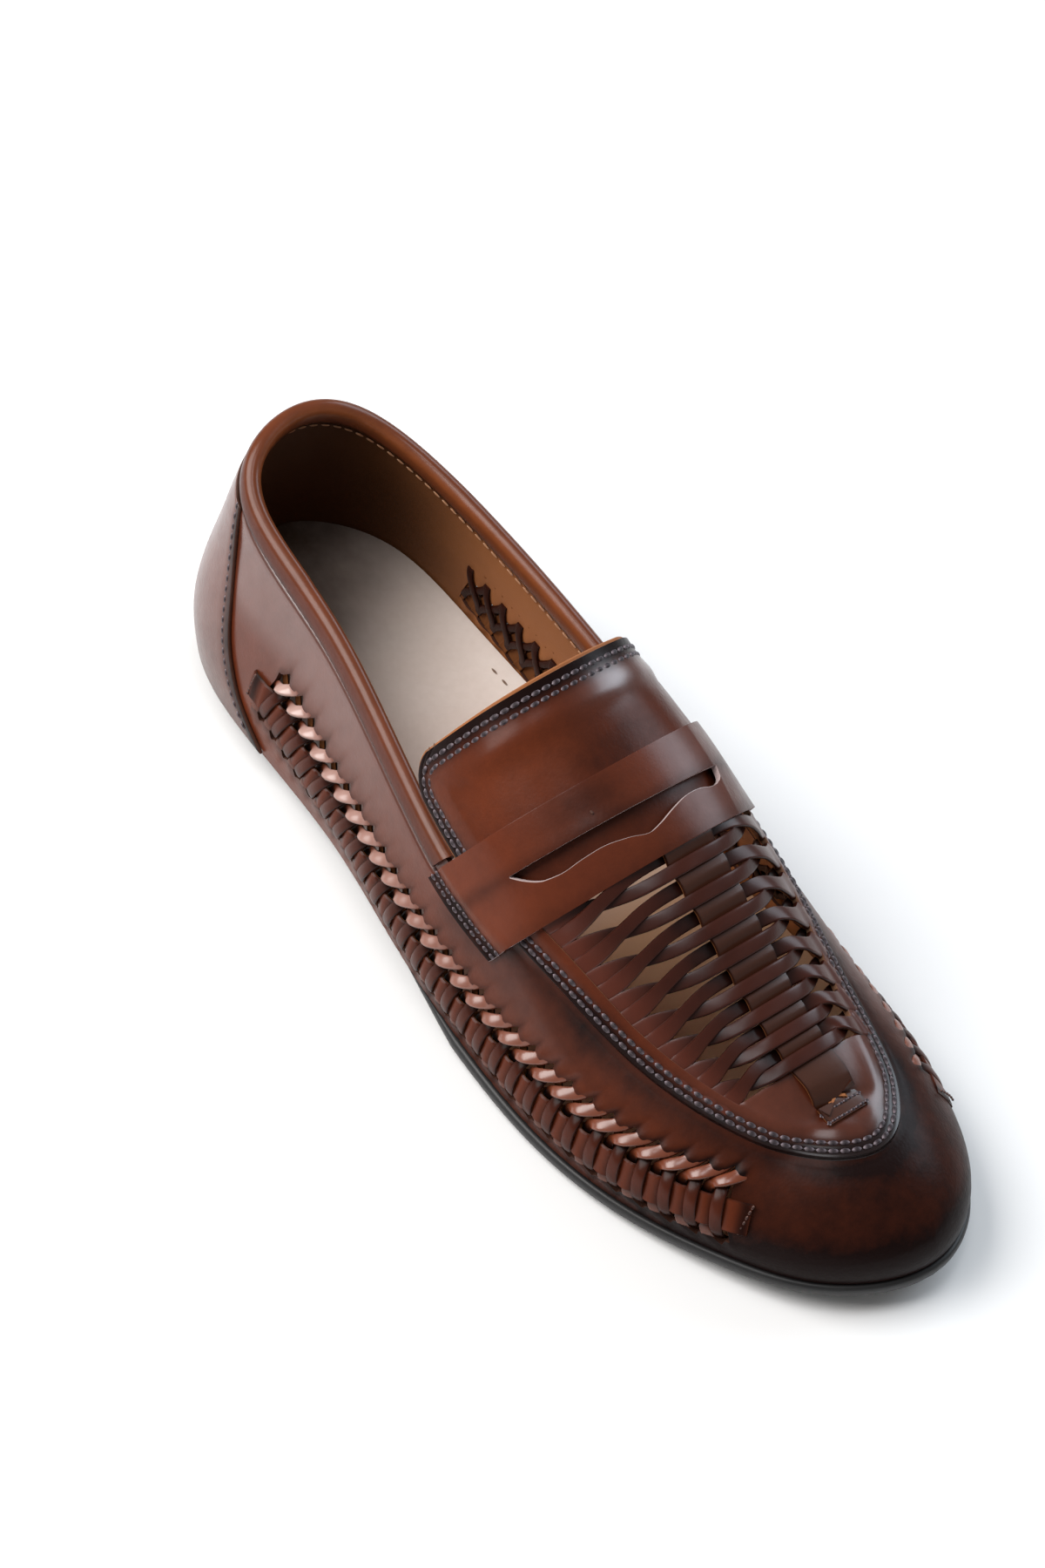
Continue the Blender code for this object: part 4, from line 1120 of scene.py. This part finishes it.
APRON_OFFSETS = (0.0, 0.08, 0.3, 0.7, 1.3, 1.9, 2.3, 2.7, 3.4, 4.1, 4.5, 4.9, 5.6, 6.4, 7.4)
APRON_SHARES = (0.0, 0.04, 0.1, 0.18, 0.27, 0.36, 0.46, 0.56, 0.66, 0.76, 0.85, 0.92, 0.97, 1.0)
apron_stations = np.concatenate([
    at_arc(arc_of(TONGUE_END) + TONGUE_CORNER * np.linspace(0.0, 1.0, 16) ** 1.6),
    np.linspace(at_arc(arc_of(TONGUE_END) + TONGUE_CORNER), PLAIT_REAR, 34)[1:],
    np.linspace(PLAIT_REAR, PLAIT_FRONT, 60)[1:],
    at_arc(np.linspace(arc_of(PLAIT_FRONT), arc_lengths[-1], 50))[1:]])
apron_u = np.concatenate([apron_stations, 2.0 - apron_stations[-2::-1]])
begin = apron_begin(apron_u)
ridge = ridge_girth(apron_u)
station = side_station(apron_u)
sewn = smoothstep(THROAT - 0.012, THROAT + 0.004, station)
offsets = [begin + offset for offset in APRON_OFFSETS]
root = np.maximum(begin + (ridge - begin) * ROOT_SHARE, offsets[-1] + 0.5)
girths = np.array(offsets + [root + (ridge - root) * share for share in APRON_SHARES])
girths = np.minimum(girths, ridge[None, :])
from_edge = girths - begin
lift = APRON_STEP - (1.35 * sewn + 0.35 * (1.0 - sewn)) * hump(from_edge, 0.42)
lift -= 0.28 * sum(hump(from_edge - row, 0.5) for row in STITCH_ROWS)
lift += 0.5 * hump(from_edge - 8.5, 2.6) * sewn
behind = arc_of(station) - arc_of(TONGUE_END)
to_rim = np.minimum(from_edge, behind[None, :])
lift += 0.8 * hump(to_rim - 9.5, 3.6) * (1.0 - sewn)
under_slot = smoothstep(STRAP_REAR + 0.006, STRAP_REAR + 0.022, station)
under_slot *= 1.0 - smoothstep(STRAP_FRONT - 0.02, STRAP_FRONT - 0.006, station)
under_slot = under_slot * smoothstep(8.0, 15.0, from_edge)
lift -= under_slot
apron_points = surface(apron_u, girths, lift)[0]
x, y = apron_points[..., 0], apron_points[..., 1]
burnish_and_shade = 0.33 + 0.72 * (1.0 - smoothstep(1.5, 7.5, to_rim))
burnish_and_shade += 0.35 * hump(behind[None, :] - 26.0, 9.0) * hump(y, 16.0)
# Darker towards the toe, and painted shade on the tongue under the strap's slot
burnish_and_shade += 0.25 * smoothstep(238.0, 268.0, x) + 0.1 * under_slot
# Warmer and lighter on the tongue's lateral side: tone and painted light
warmth_and_light = 0.25 + 0.55 * hump(behind[None, :] - 18.0, 12.0) * smoothstep(4.0, 24.0, -y)
warmth_and_light += 0.12 * hump(from_edge - 9.0, 5.0) * smoothstep(150.0, 165.0, x) * smoothstep(250.0, 225.0, x)
polish = 0.08 + 0.36 * smoothstep(205.0, 245.0, x)
polish += 0.4 * smoothstep(238.0, 262.0, x) * smoothstep(-2.0, 18.0, y)
polish += 0.8 * hump(to_rim - 8.0, 5.0) * smoothstep(-14.0, 12.0, y) * (1.0 - sewn)
polish += 0.45 * hump(from_edge, 1.3) * sewn
slit_columns = (station > PLAIT_REAR - 1e-9) & (station < PLAIT_FRONT + 1e-9)
keep = np.ones((len(girths) - 1, len(apron_u) - 1), bool)
keep[len(APRON_OFFSETS):] = ~(slit_columns[:-1] & slit_columns[1:])[None, :]
apron_finish = burnished_leather("apron_leather", 0.34)
tan_edge = cut_edge("tan_cut_edge", (0.13, 0.055, 0.025), (0.28, 0.14, 0.075))
apron_shape = BVHTree.FromPolygons(apron_points.reshape(-1, 3).tolist(), grid_faces(*girths.shape))
apron = add_piece("apron_and_tongue", apron_points, grid_faces(*girths.shape, False, keep),
                  [apron_finish, lining_finish, tan_edge],
                  {"burnish_and_shade": burnish_and_shade, "warmth_and_light": warmth_and_light, "polish": polish})
weld(apron)
thicken(apron, APRON_THICK, 0.25)
fit(apron, "brown_leather")


def apron_row(inset, first, last, samples=240):
    """Path along the sewn edge of the apron at a distance inside it."""
    u = np.linspace(first, last, samples)
    return surface(u, apron_begin(u) + inset, APRON_STEP - 0.12)


def tongue_row(inset, lift=APRON_STEP - 0.12, samples=60):
    """Path round the free edge of the tongue at a distance inside it."""
    paths = []
    for medial in (False, True):
        straight = np.linspace(STRAP_REAR + 0.004, at_arc(arc_of(TONGUE_END) + TONGUE_CORNER), 20)
        corner = at_arc(arc_of(TONGUE_END) + TONGUE_CORNER * np.linspace(1, 0, 40)[1:] ** 1.6)
        stations = np.concatenate([straight, corner])
        u = on_side(stations, medial)
        ridge = ridge_girth(u[-1:])[0]
        length = np.concatenate([arc_of(stations), np.full(samples, arc_of(TONGUE_END))])
        girth = np.concatenate([apron_begin(u), np.linspace(apron_begin(u[-1:])[0], ridge, samples + 1)[1:]])
        run = np.gradient(np.stack([length, girth], axis=1), axis=0)
        run /= np.linalg.norm(run, axis=1)[:, None]
        length = length + inset * run[:, 1]
        girth = np.minimum(girth - inset * run[:, 0], ridge)
        paths.append(surface(on_side(at_arc(length), medial), girth, lift))
    (left, left_facing), (right, right_facing) = paths
    return np.concatenate([left, right[-2::-1]]), np.concatenate([left_facing, right_facing[-2::-1]])


seam_thread = thread("seam_thread", (0.022, 0.014, 0.017), (0.40, 0.33, 0.37))
seam_paths = [apron_row(inset, STRAP_FRONT - 0.006, 2.0 - STRAP_FRONT + 0.006) for inset in STITCH_ROWS]
seam_paths += [tongue_row(inset) for inset in STITCH_ROWS]
stitches("apron_stitches", seam_paths, seam_thread, "brown_leather", 3.1, 2.75, 1.45)

# Lining of the tongue
# A backing of tan lining leather, cemented behind the tongue and held by its two rows of thread. Its
# cut edge is left a little proud of the tongue.

TONGUE_LINING_SIZES = (2.2, 0.8, 0.0)
strips("tongue_lining", [tongue_row(0.2, APRON_STEP - 1.3)], lining_finish, TONGUE_LINING_SIZES, 0.0)

# Plait of the apron
# Eight pairs of strips cross at each side of a broad lace: the first strip of a pair lies over the
# second where they cross and goes under the lace, and the second goes over it.

APRON_PAIRS = 8
APRON_STRIP_SIZES = (4.5, 1.05, 0.08)
APRON_STRIP_SAMPLES = 64
LACE_HALF = 8.4
LACE_Y = 2.0
APRON_LACE_SIZES = (2.0 * LACE_HALF, 1.15, 0.3)
apron_strip_finish = strip_leather("apron_strip_leather", (0.135, 0.0235, 0.008), (0.08, 0.0145, 0.006), 0.45)
apron_lace_finish = strip_leather("apron_lace_leather", (0.058, 0.0165, 0.0068), (0.04, 0.012, 0.0062), 0.3)
# Way across from the left root (0) to the lace (1), over it (2) and on to the right root (3),
# with the share of the pitch from the middle of the pair, the lift and the tilt
OVER_CROSSING = ((-0.16, 0.25, -0.9, 0), (-0.06, 0.25, -0.46, 0), (0.06, 0.25, -0.38, 1),
                 (0.26, 0.16, 0.45, 12), (0.46, -0.03, 1.15, 16), (0.66, -0.2, 0.6, 8),
                 (0.86, -0.26, -0.4, 0), (1.02, -0.26, -1.1, 0), (1.5, -0.26, -1.4, 0),
                 (1.98, -0.26, -1.1, 0), (2.14, -0.26, -0.2, 0), (2.34, -0.2, 0.7, -8),
                 (2.54, -0.02, 1.15, -14), (2.74, 0.17, 0.6, -8), (2.92, 0.25, -0.3, 0),
                 (3.06, 0.25, -0.5, 0), (3.22, 0.25, -1.2, 0))
UNDER_CROSSING = ((-0.16, -0.25, -0.9, 0), (-0.06, -0.25, -0.46, 0), (0.08, -0.25, -0.42, 0),
                  (0.28, -0.14, -0.75, 0), (0.46, 0.03, -0.8, 0), (0.66, 0.2, 0.0, -8),
                  (0.86, 0.25, 0.75, -12), (1.02, 0.25, 1.25, -8), (1.5, 0.25, 1.6, 4),
                  (1.98, 0.25, 1.35, 10), (2.14, 0.24, 0.9, 12), (2.34, 0.16, 0.1, 12),
                  (2.54, 0.02, -0.8, 8), (2.74, -0.14, -1.5, 0), (2.92, -0.22, -2.0, 0),
                  (3.1, -0.25, -2.4, 0))
plait_arc = (arc_of(PLAIT_REAR), arc_of(PLAIT_FRONT))
plait_pitch = (plait_arc[1] - plait_arc[0]) / APRON_PAIRS


def apron_strip(pair, path):
    knots = np.array(path)[:, 0]
    way = np.linspace(knots[0], knots[-1], APRON_STRIP_SAMPLES)
    share, lift, tilt = flowing(knots, np.array(path)[:, 1:], way).T
    station = at_arc(plait_arc[0] + plait_pitch * (pair + 0.5 + share))
    sides = (station, 2.0 - station)
    left_ridge, right_ridge = (ridge_girth(u) for u in sides)
    left_reach, right_reach = ((ridge_girth(u) - apron_begin(u)) * (1.0 - ROOT_SHARE) for u in sides)
    shift = LACE_Y - skin(station, np.ones(len(way)))[:, 1]
    left_lace = LACE_HALF - shift
    right_lace = LACE_HALF + shift
    to_lace = -left_reach + way * (left_reach - left_lace)
    over_lace = -left_lace + (way - 1.0) * (left_lace + right_lace)
    past_lace = right_lace + (way - 2.0) * (right_reach - right_lace)
    from_ridge = np.where(way < 1.0, to_lace, np.where(way < 2.0, over_lace, past_lace))
    u = np.where(from_ridge < 0.0, *sides)
    girth = np.where(from_ridge < 0.0, left_ridge + from_ridge, right_ridge - from_ridge)
    points, facing = surface(u, girth, APRON_STEP + lift)
    return points, tilted(points, facing, tilt)


def apron_strips(name, path, burnish_and_shade, spread):
    """The strips of one kind in all the pairs; burnish and spread are given at ways along a strip."""
    paths = [apron_strip(i, path) for i in range(APRON_PAIRS)]
    numbers = (along_strip(*value, APRON_STRIP_SAMPLES) for value in (burnish_and_shade, spread))
    strips(name, paths, apron_strip_finish, APRON_STRIP_SIZES, *numbers)


# Painted shade where the strips pass under the lace and each other
apron_strips("apron_over_strips", OVER_CROSSING,
             ((0.0, 0.08, 0.16, 0.26, 0.36, 0.62, 0.72, 1.0), (0.3, 0.35, 0.6, 0.75, 0.95, 0.95, 0.7, 0.4)),
             ((0.0, 0.1, 0.17, 0.25, 0.34, 0.8, 0.88, 0.94, 1.0),
              (1.1, 1.08, 0.86, 0.8, 0.86, 0.92, 1.3, 1.85, 1.95)))
apron_strips("apron_under_strips", UNDER_CROSSING,
             ((0.0, 0.08, 0.16, 0.3, 0.5, 0.7, 0.8, 1.0), (0.3, 0.35, 0.85, 0.75, 0.65, 0.65, 0.85, 1.0)),
             ((0.0, 0.1, 0.17, 0.25, 0.34, 0.86, 1.0), (1.1, 1.08, 0.86, 0.8, 0.84, 0.88, 0.9)))

LACE_REAR_X = 174.0
LACE_END_X = 252.0
BOX_X = (248.2, 251.4)
BOX_Y = (-4.4, 8.4)
CAST_HEIGHT = 150.0


def on_apron(x, y, lift):
    """Points above the panel of the apron at places in plan, with the side that they face."""
    x, y, lift = np.broadcast_arrays(x, y, lift)
    down = Vector((0.0, 0.0, -1.0))
    hits = [apron_shape.ray_cast(Vector((*place, CAST_HEIGHT)), down)[:2] for place in zip(x, y)]
    points, facing = (np.array(part) for part in zip(*hits))
    return points + facing * lift[:, None], facing


lace_x = np.linspace(LACE_REAR_X, LACE_END_X, 150)
pair_stations = np.linspace(PLAIT_REAR, PLAIT_FRONT, 60)
ridge_x = skin(pair_stations, np.ones(60))[:, 0]
pair_share = (arc_of(np.interp(lace_x, ridge_x, pair_stations)) - plait_arc[0]) / plait_pitch
wave = 0.2 + 0.45 * np.cos(2.0 * math.pi * (pair_share - 0.25))
on_panel = smoothstep(ridge_x[-1] - 1.5, ridge_x[-1] + 2.0, lace_x)
loop = np.clip((lace_x - ridge_x[-1]) / (BOX_X[0] - 1.0 - ridge_x[-1]), 0.0, 1.0)
lace_lift = wave * (1.0 - on_panel) + (0.5 + 1.3 * np.sin(math.pi * loop) ** 2) * on_panel
strips("apron_lace", [on_apron(lace_x, LACE_Y, lace_lift)], apron_lace_finish, APRON_LACE_SIZES, 0.1,
       np.interp(lace_x, (180.0, LACE_END_X), (1.0, 0.78)))
box_paths = [on_apron(x, np.linspace(*BOX_Y, 20), 1.0) for x in BOX_X]
box_paths += [on_apron(np.linspace(*BOX_X, 6), y, 0.9) for y in BOX_Y]
stitches("apron_lace_stitches", box_paths, seam_thread, "brown_leather", 1.6, 1.5, 0.75)

# Saddle strap
# A band of calf over the instep, sewn down at both ends past the apron seam. The slot has a straight
# rear lip with painted shade along it, and a waved front lip with a pale cut edge and a painted highlight.

STRAP_THICK = 1.6
STRAP_PAST_SEAM = 8.0
STRAP_HALF_LENGTH = 66.0
STRAP_WIDTH = 29.0
STRAP_SEAMS = (1.7, 3.8)
PINHOLE = (-0.205, 0.28)
STRAP_LIFT_GIRTH = (-3.0, 0.5, 4.0)
STRAP_LIFT = (0.4, 1.5, 1.65)
SLOT_ENDS = (-0.61, 0.425)
SLOT_REAR_LIP = ((-1.0, 0.425), (-0.61, 0.43), (0.42, 0.485), (1.0, 0.49))
SLOT_FRONT_LIP = ((-0.61, 0.445), (-0.58, 0.52), (-0.53, 0.61), (-0.45, 0.66), (-0.34, 0.65), (-0.235, 0.65),
                  (-0.135, 0.70), (-0.055, 0.755), (0.01, 0.73), (0.11, 0.66), (0.19, 0.615), (0.275, 0.62),
                  (0.34, 0.655), (0.385, 0.645), (0.412, 0.60), (0.425, 0.51))
REAR_ROWS = (0.0, 0.02, 0.06, 0.13, 0.24, 0.38, 0.53, 0.68, 0.8, 0.89, 0.95, 0.985, 1.0)
across = np.unique(np.concatenate([np.linspace(-1.0, 1.0, 181), np.linspace(-0.63, -0.5, 16),
                                   np.linspace(0.37, 0.44, 18), np.array(SLOT_ENDS),
                                   np.linspace(-1.0, -0.9, 8), np.linspace(0.9, 1.0, 8)]).round(5))
rear_lip = np.interp(across, *np.array(SLOT_REAR_LIP).T)
front_lip = flowing(*np.array(SLOT_FRONT_LIP).T, across)
in_slot = (across >= SLOT_ENDS[0]) & (across <= SLOT_ENDS[1])
front_lip = np.where(in_slot, np.maximum(front_lip, rear_lip + 0.012), rear_lip + 0.012)
along = np.array([rear_lip * share for share in REAR_ROWS]
                 + [front_lip + (1.0 - front_lip) * (1.0 - share) for share in REAR_ROWS[::-1]])
from_rear_lip = (along - rear_lip) * STRAP_WIDTH
from_front_lip = (along - front_lip) * STRAP_WIDTH
strap_station = STRAP_REAR + (STRAP_FRONT - STRAP_REAR) * along
strap_u = np.where(across[None, :] < 0.0, strap_station, 2.0 - strap_station)
flat_u = strap_u.ravel()
seam_girth = topline_girth(flat_u)
start = seam_girth - STRAP_PAST_SEAM
girth = start + (ridge_girth(flat_u) - start) * (1.0 - np.abs(np.broadcast_to(across, along.shape).ravel()))
lift = np.interp(girth - seam_girth, STRAP_LIFT_GIRTH, STRAP_LIFT) + STRAP_THICK
from_end = (1.0 - np.abs(across)) * STRAP_HALF_LENGTH
slot_middle = hump(across - sum(SLOT_ENDS) / 2.0, 0.42)
relief = 0.55 * hump(from_front_lip, 5.0) * (along >= front_lip) * slot_middle
relief += 0.35 * hump(from_rear_lip, 3.0) * (along <= rear_lip) * slot_middle
relief += 0.3 * hump(from_end - 8.0, 3.0) - 0.55 * hump(from_end - 3.0, 2.4)
points, facing = surface(flat_u, girth, lift + relief.ravel())
keep = np.ones((len(along) - 1, len(across) - 1), bool)
keep[len(REAR_ROWS) - 1] = ~(in_slot[:-1] & in_slot[1:])
burnish_and_shade = 0.1 + 0.8 * (1.0 - smoothstep(3.6, 6.4, from_end)) + 0.25 * smoothstep(0.2, 0.6, across)
burnish_and_shade = burnish_and_shade + 0.5 * hump((along - 0.2) * STRAP_WIDTH, 7.0) * hump(across + 0.18, 0.16)
# Painted shade along the rear lip of the slot and along the strap's front edge
burnish_and_shade += 0.35 * hump(from_rear_lip, 2.5) + 0.3 * hump((along - 1.0) * STRAP_WIDTH, 3.0)
# Warmer and lighter towards the strap's lateral end: tone and painted light
warmth_and_light = 0.15 + 0.5 * smoothstep(0.35, 0.9, -across)
polish = 0.1 + 0.34 * smoothstep(0.0, 0.6, across)
strap_finish = burnished_leather("strap_leather", 0.35)
# Painted highlight along the front lip of the slot
lip_highlight = np.zeros(along.shape)
lip_highlight[len(REAR_ROWS)] = in_slot * (1.0 - smoothstep(0.3, 0.4, across))
# Cut edge of the strap: pale fibres, made lighter as a painted highlight
pale_edge_and_highlight = cut_edge("pale_cut_edge_and_highlight", (0.30, 0.19, 0.17), (0.62, 0.52, 0.52))
strap_faces = [f[::-1] for f in grid_faces(*along.shape, False, keep)]
strap = add_piece("penny_strap", points.reshape(*along.shape, 3), strap_faces,
                  [strap_finish, lining_finish, pale_edge_and_highlight],
                  {"burnish_and_shade": burnish_and_shade, "warmth_and_light": warmth_and_light, "lip_highlight": lip_highlight, "polish": polish})
weld(strap, 0.004)
thicken(strap, STRAP_THICK, 0.28)
fit(strap, "strap_leather", "saddle_strap")

end_paths = []
for medial in (False, True):
    u = on_side(np.linspace(STRAP_REAR + 0.002, STRAP_FRONT - 0.002, 40), medial)
    for inset in STRAP_SEAMS:
        past = inset - STRAP_PAST_SEAM
        lift = np.interp(past, STRAP_LIFT_GIRTH, STRAP_LIFT) + STRAP_THICK - 0.42
        end_paths.append(surface(u, topline_girth(u) + past, lift))
stitches("strap_stitches", end_paths, seam_thread, "strap_leather", 2.5, 2.05, 1.15)
# A dark bead marks the pinhole: its dark cut edge and painted shade in the hole
spot = np.abs(along[:, 0] - PINHOLE[1]).argmin() * len(across) + np.abs(across - PINHOLE[0]).argmin()
hole = np.stack([points[spot], points[spot] + (0.4, 0.0, 0.0)])
stitches("strap_pinhole", [(hole, np.tile(facing[spot], (2, 1)))], dark_edge, "strap_leather", 2.0, 1.0, 0.8)

# Heel counter
# A cap of the same calf, moulded over the back of the skirt and laid on it. Its edges are skived, and
# it is sewn down along the two front ones.

COUNTER_LIFT = 1.75
COUNTER_THICK = 1.2
COUNTER_SHARES = (0.0, 0.15, 0.35, 0.7, 1.0)
COUNTER_EDGE = (0.25, 0.218, 0.19, 0.16, 0.13)
COUNTER_FOOT = 1.2
COUNTER_TOP = 7.0
COUNTER_LEVELS = 42
COUNTER_COLUMNS = 150
COUNTER_HALF = 55.0
COUNTER_SEAM = 0.955


def counter_row(level, across):
    u = np.mod(across * flowing(COUNTER_SHARES, COUNTER_EDGE, level), 2.0)
    high = topline_girth(u) - COUNTER_TOP
    return u, COUNTER_FOOT + (high - COUNTER_FOOT) * level


across = np.linspace(-1.0, 1.0, COUNTER_COLUMNS + 1)
levels = np.linspace(0.0, 1.0, COUNTER_LEVELS)
u_grid, girths = (np.array(part) for part in zip(*(counter_row(level, across) for level in levels)))
to_edge = (1.0 - np.abs(across)) * COUNTER_HALF
foot_down = 1.0 - smoothstep(0.0, 0.3, levels)[:, None]
counter_lift = COUNTER_LIFT - 0.45 * np.maximum(foot_down, 1.0 - smoothstep(0.0, 5.0, to_edge))
counter_points = surface(u_grid, girths, counter_lift)[0]
burnish_and_shade = 0.15 + 0.7 * (1.0 - smoothstep(0.6, 4.0, to_edge)) + 0.3 * (1.0 - levels[:, None]) ** 3
counter_finish = burnished_leather("counter_leather", 0.36)
counter = add_piece("heel_cap", counter_points, grid_faces(*girths.shape),
                    [counter_finish, lining_finish, dark_edge],
                    {"burnish_and_shade": burnish_and_shade, "warmth_and_light": 0.3, "polish": 0.8})
thicken(counter, COUNTER_THICK, 0.35)
fit(counter, "counter_leather", "heel_counter")

counter_paths = []
for end in (-1.0, 1.0):
    spots = [counter_row(level, np.array([end * COUNTER_SEAM])) for level in np.linspace(0.07, 0.985, 60)]
    u, girth = (np.concatenate(part) for part in zip(*spots))
    counter_paths.append(surface(u, girth, COUNTER_LIFT - 0.3))
stitches("counter_stitches", counter_paths, seam_thread, "counter_leather", 3.0, 2.4, 0.8)

# Collar binding
# A strip of thin calf folded over the collar's edge in a soft roll, from the throat round the heel
# and back. It is cemented down and sewn with the row under the collar.

# Section of the binding: rise from the collar's edge and distance out of the wall's face
BINDING_PROFILE = ((-5.1, 0.32), (-5.3, 0.8), (-5.0, 1.3), (-4.2, 1.6), (-3.0, 1.78), (-1.7, 1.82),
                   (-0.5, 1.7), (0.5, 1.4), (1.3, 0.75), (1.8, -0.1), (2.0, -0.9), (1.85, -1.7),
                   (1.3, -2.55), (0.5, -3.15), (-0.6, -3.45), (-2.0, -3.55), (-3.6, -3.5), (-4.8, -3.25),
                   (-5.2, -2.7), (-5.0, -2.15), (-2.0, -2.1), (0.2, -2.1), (0.25, 0.3), (-2.0, 0.32))
BINDING_DEPTH = 5.0
binding_u = collar_line(STRAP_REAR - 0.006, 170)
binding_top = topline_girth(binding_u)
edge, edge_out = surface(binding_u, binding_top, 0.0)
low, low_out = surface(binding_u, binding_top - BINDING_DEPTH, 0.0)
upward = unit(edge - low)
rings = []
for rise, out in BINDING_PROFILE:
    share = np.clip(-rise / BINDING_DEPTH, 0.0, 1.0)
    foot = edge + (low - edge) * share
    rings.append(foot + unit(edge_out * (1.0 - share) + low_out * share) * out + upward * max(rise, 0.0))
rings = np.array(rings)
rise_of, out_of = np.array(BINDING_PROFILE).T[..., None]
# Painted shade along both feet of the roll, where it meets the wall
burnish_and_shade = 0.25 + 0.45 * hump(rise_of + 5.2, 1.3)
# Lighter along the crest of the roll, wear and painted highlight, and warmer on its inner face
warmth_and_light = 0.4 * hump(rise_of - 1.2, 1.6) + 0.5 * smoothstep(-1.0, -3.0, out_of)
size, count = rings.shape[:2]
faces = [f[::-1] for f in grid_faces(size, count)]
faces += [((size - 1) * count + j, (size - 1) * count + j + 1, j + 1, j)[::-1] for j in range(count - 1)]
faces += [tuple(k * count for k in range(size)), tuple(k * count + count - 1 for k in range(size))[::-1]]
binding_finish = burnished_leather("dark_leather", 0.3, (0.27, 0.075, 0.023))
binding = add_piece("collar_roll", rings, faces, [binding_finish],
                    {"burnish_and_shade": burnish_and_shade, "warmth_and_light": warmth_and_light, "polish": 0.2})
settle(binding, 60.0)
fit(binding, "dark_leather", "collar_binding")

# Studio
# A plain pale floor, three soft area lights and a dim even sky for fill. The camera stands at the
# photograph's angle.


def pale_floor():
    finish = Finish("pale_floor", {"Roughness": 0.9, "Specular IOR Level": 0.1})
    finish.set("Base Color", (0.92, 0.92, 0.92, 1.0))
    return finish.material


FLOOR_HALF = 3.0
floor_mesh = bpy.data.meshes.new("floor")
corners = [(x * FLOOR_HALF, y * FLOOR_HALF, 0.0) for x, y in ((-1, -1), (1, -1), (1, 1), (-1, 1))]
floor_mesh.from_pydata(corners, [], [(0, 1, 2, 3)])
floor_mesh.materials.append(pale_floor())
floor = bpy.data.objects.new("floor", floor_mesh)
bpy.context.scene.collection.objects.link(floor)


def soft_light(name, place, aim, size, power, colour):
    lamp = bpy.data.lights.new(name, "AREA")
    lamp.shape = "RECTANGLE"
    lamp.size, lamp.size_y = size
    lamp.energy = power
    lamp.color = colour
    light = bpy.data.objects.new(name, lamp)
    light.location = place
    toward = np.array(aim) - np.array(place)
    light.rotation_euler = Vector(toward).to_track_quat("-Z", "Y").to_euler()
    bpy.context.scene.collection.objects.link(light)


soft_light("key", (-0.65, -0.8, 1.15), (0.0, 0.0, 0.03), (1.2, 1.2), 30.0, (1.0, 0.98, 0.96))
soft_light("window", (-0.1, 1.25, 0.85), (0.0, 0.0, 0.03), (1.5, 0.6), 14.0, (0.78, 0.89, 1.0))
soft_light("top", (0.02, -0.16, 1.5), (0.1, 0.0, 0.03), (0.4, 0.4), 3.0, (0.95, 0.97, 1.0))
world = bpy.data.worlds.new("studio_air")
world.use_nodes = True
world.node_tree.nodes["Background"].inputs["Color"].default_value = (1.0, 0.99, 0.98, 1.0)
world.node_tree.nodes["Background"].inputs["Strength"].default_value = 0.25
bpy.context.scene.world = world
bpy.context.scene.view_settings.view_transform = "Standard"

CAMERA_PLACE = (0.53724, -0.60693, 1.06312)
CAMERA_TURN = 47.34
CAMERA_RISE = 51.114
CAMERA_ROLL = 11.428
turn, rise, roll = (math.radians(v) for v in (CAMERA_TURN, CAMERA_RISE, CAMERA_ROLL))
back = np.array((math.cos(turn) * math.cos(rise), -math.sin(turn) * math.cos(rise), math.sin(rise)))
level = np.array((math.sin(turn), math.cos(turn), 0.0))
upright = np.cross(back, level)
right = math.cos(roll) * level + math.sin(roll) * upright
up = math.cos(roll) * upright - math.sin(roll) * level
lens = bpy.data.cameras.new("camera")
lens.sensor_fit = "VERTICAL"
lens.sensor_height = 36.0
lens.lens = 111.88
camera = bpy.data.objects.new("camera", lens)
placed = np.eye(4)
placed[:3] = np.stack([right, up, back, CAMERA_PLACE], axis=1)
camera.matrix_world = Matrix(placed.tolist())
bpy.context.scene.collection.objects.link(camera)
bpy.context.scene.camera = camera
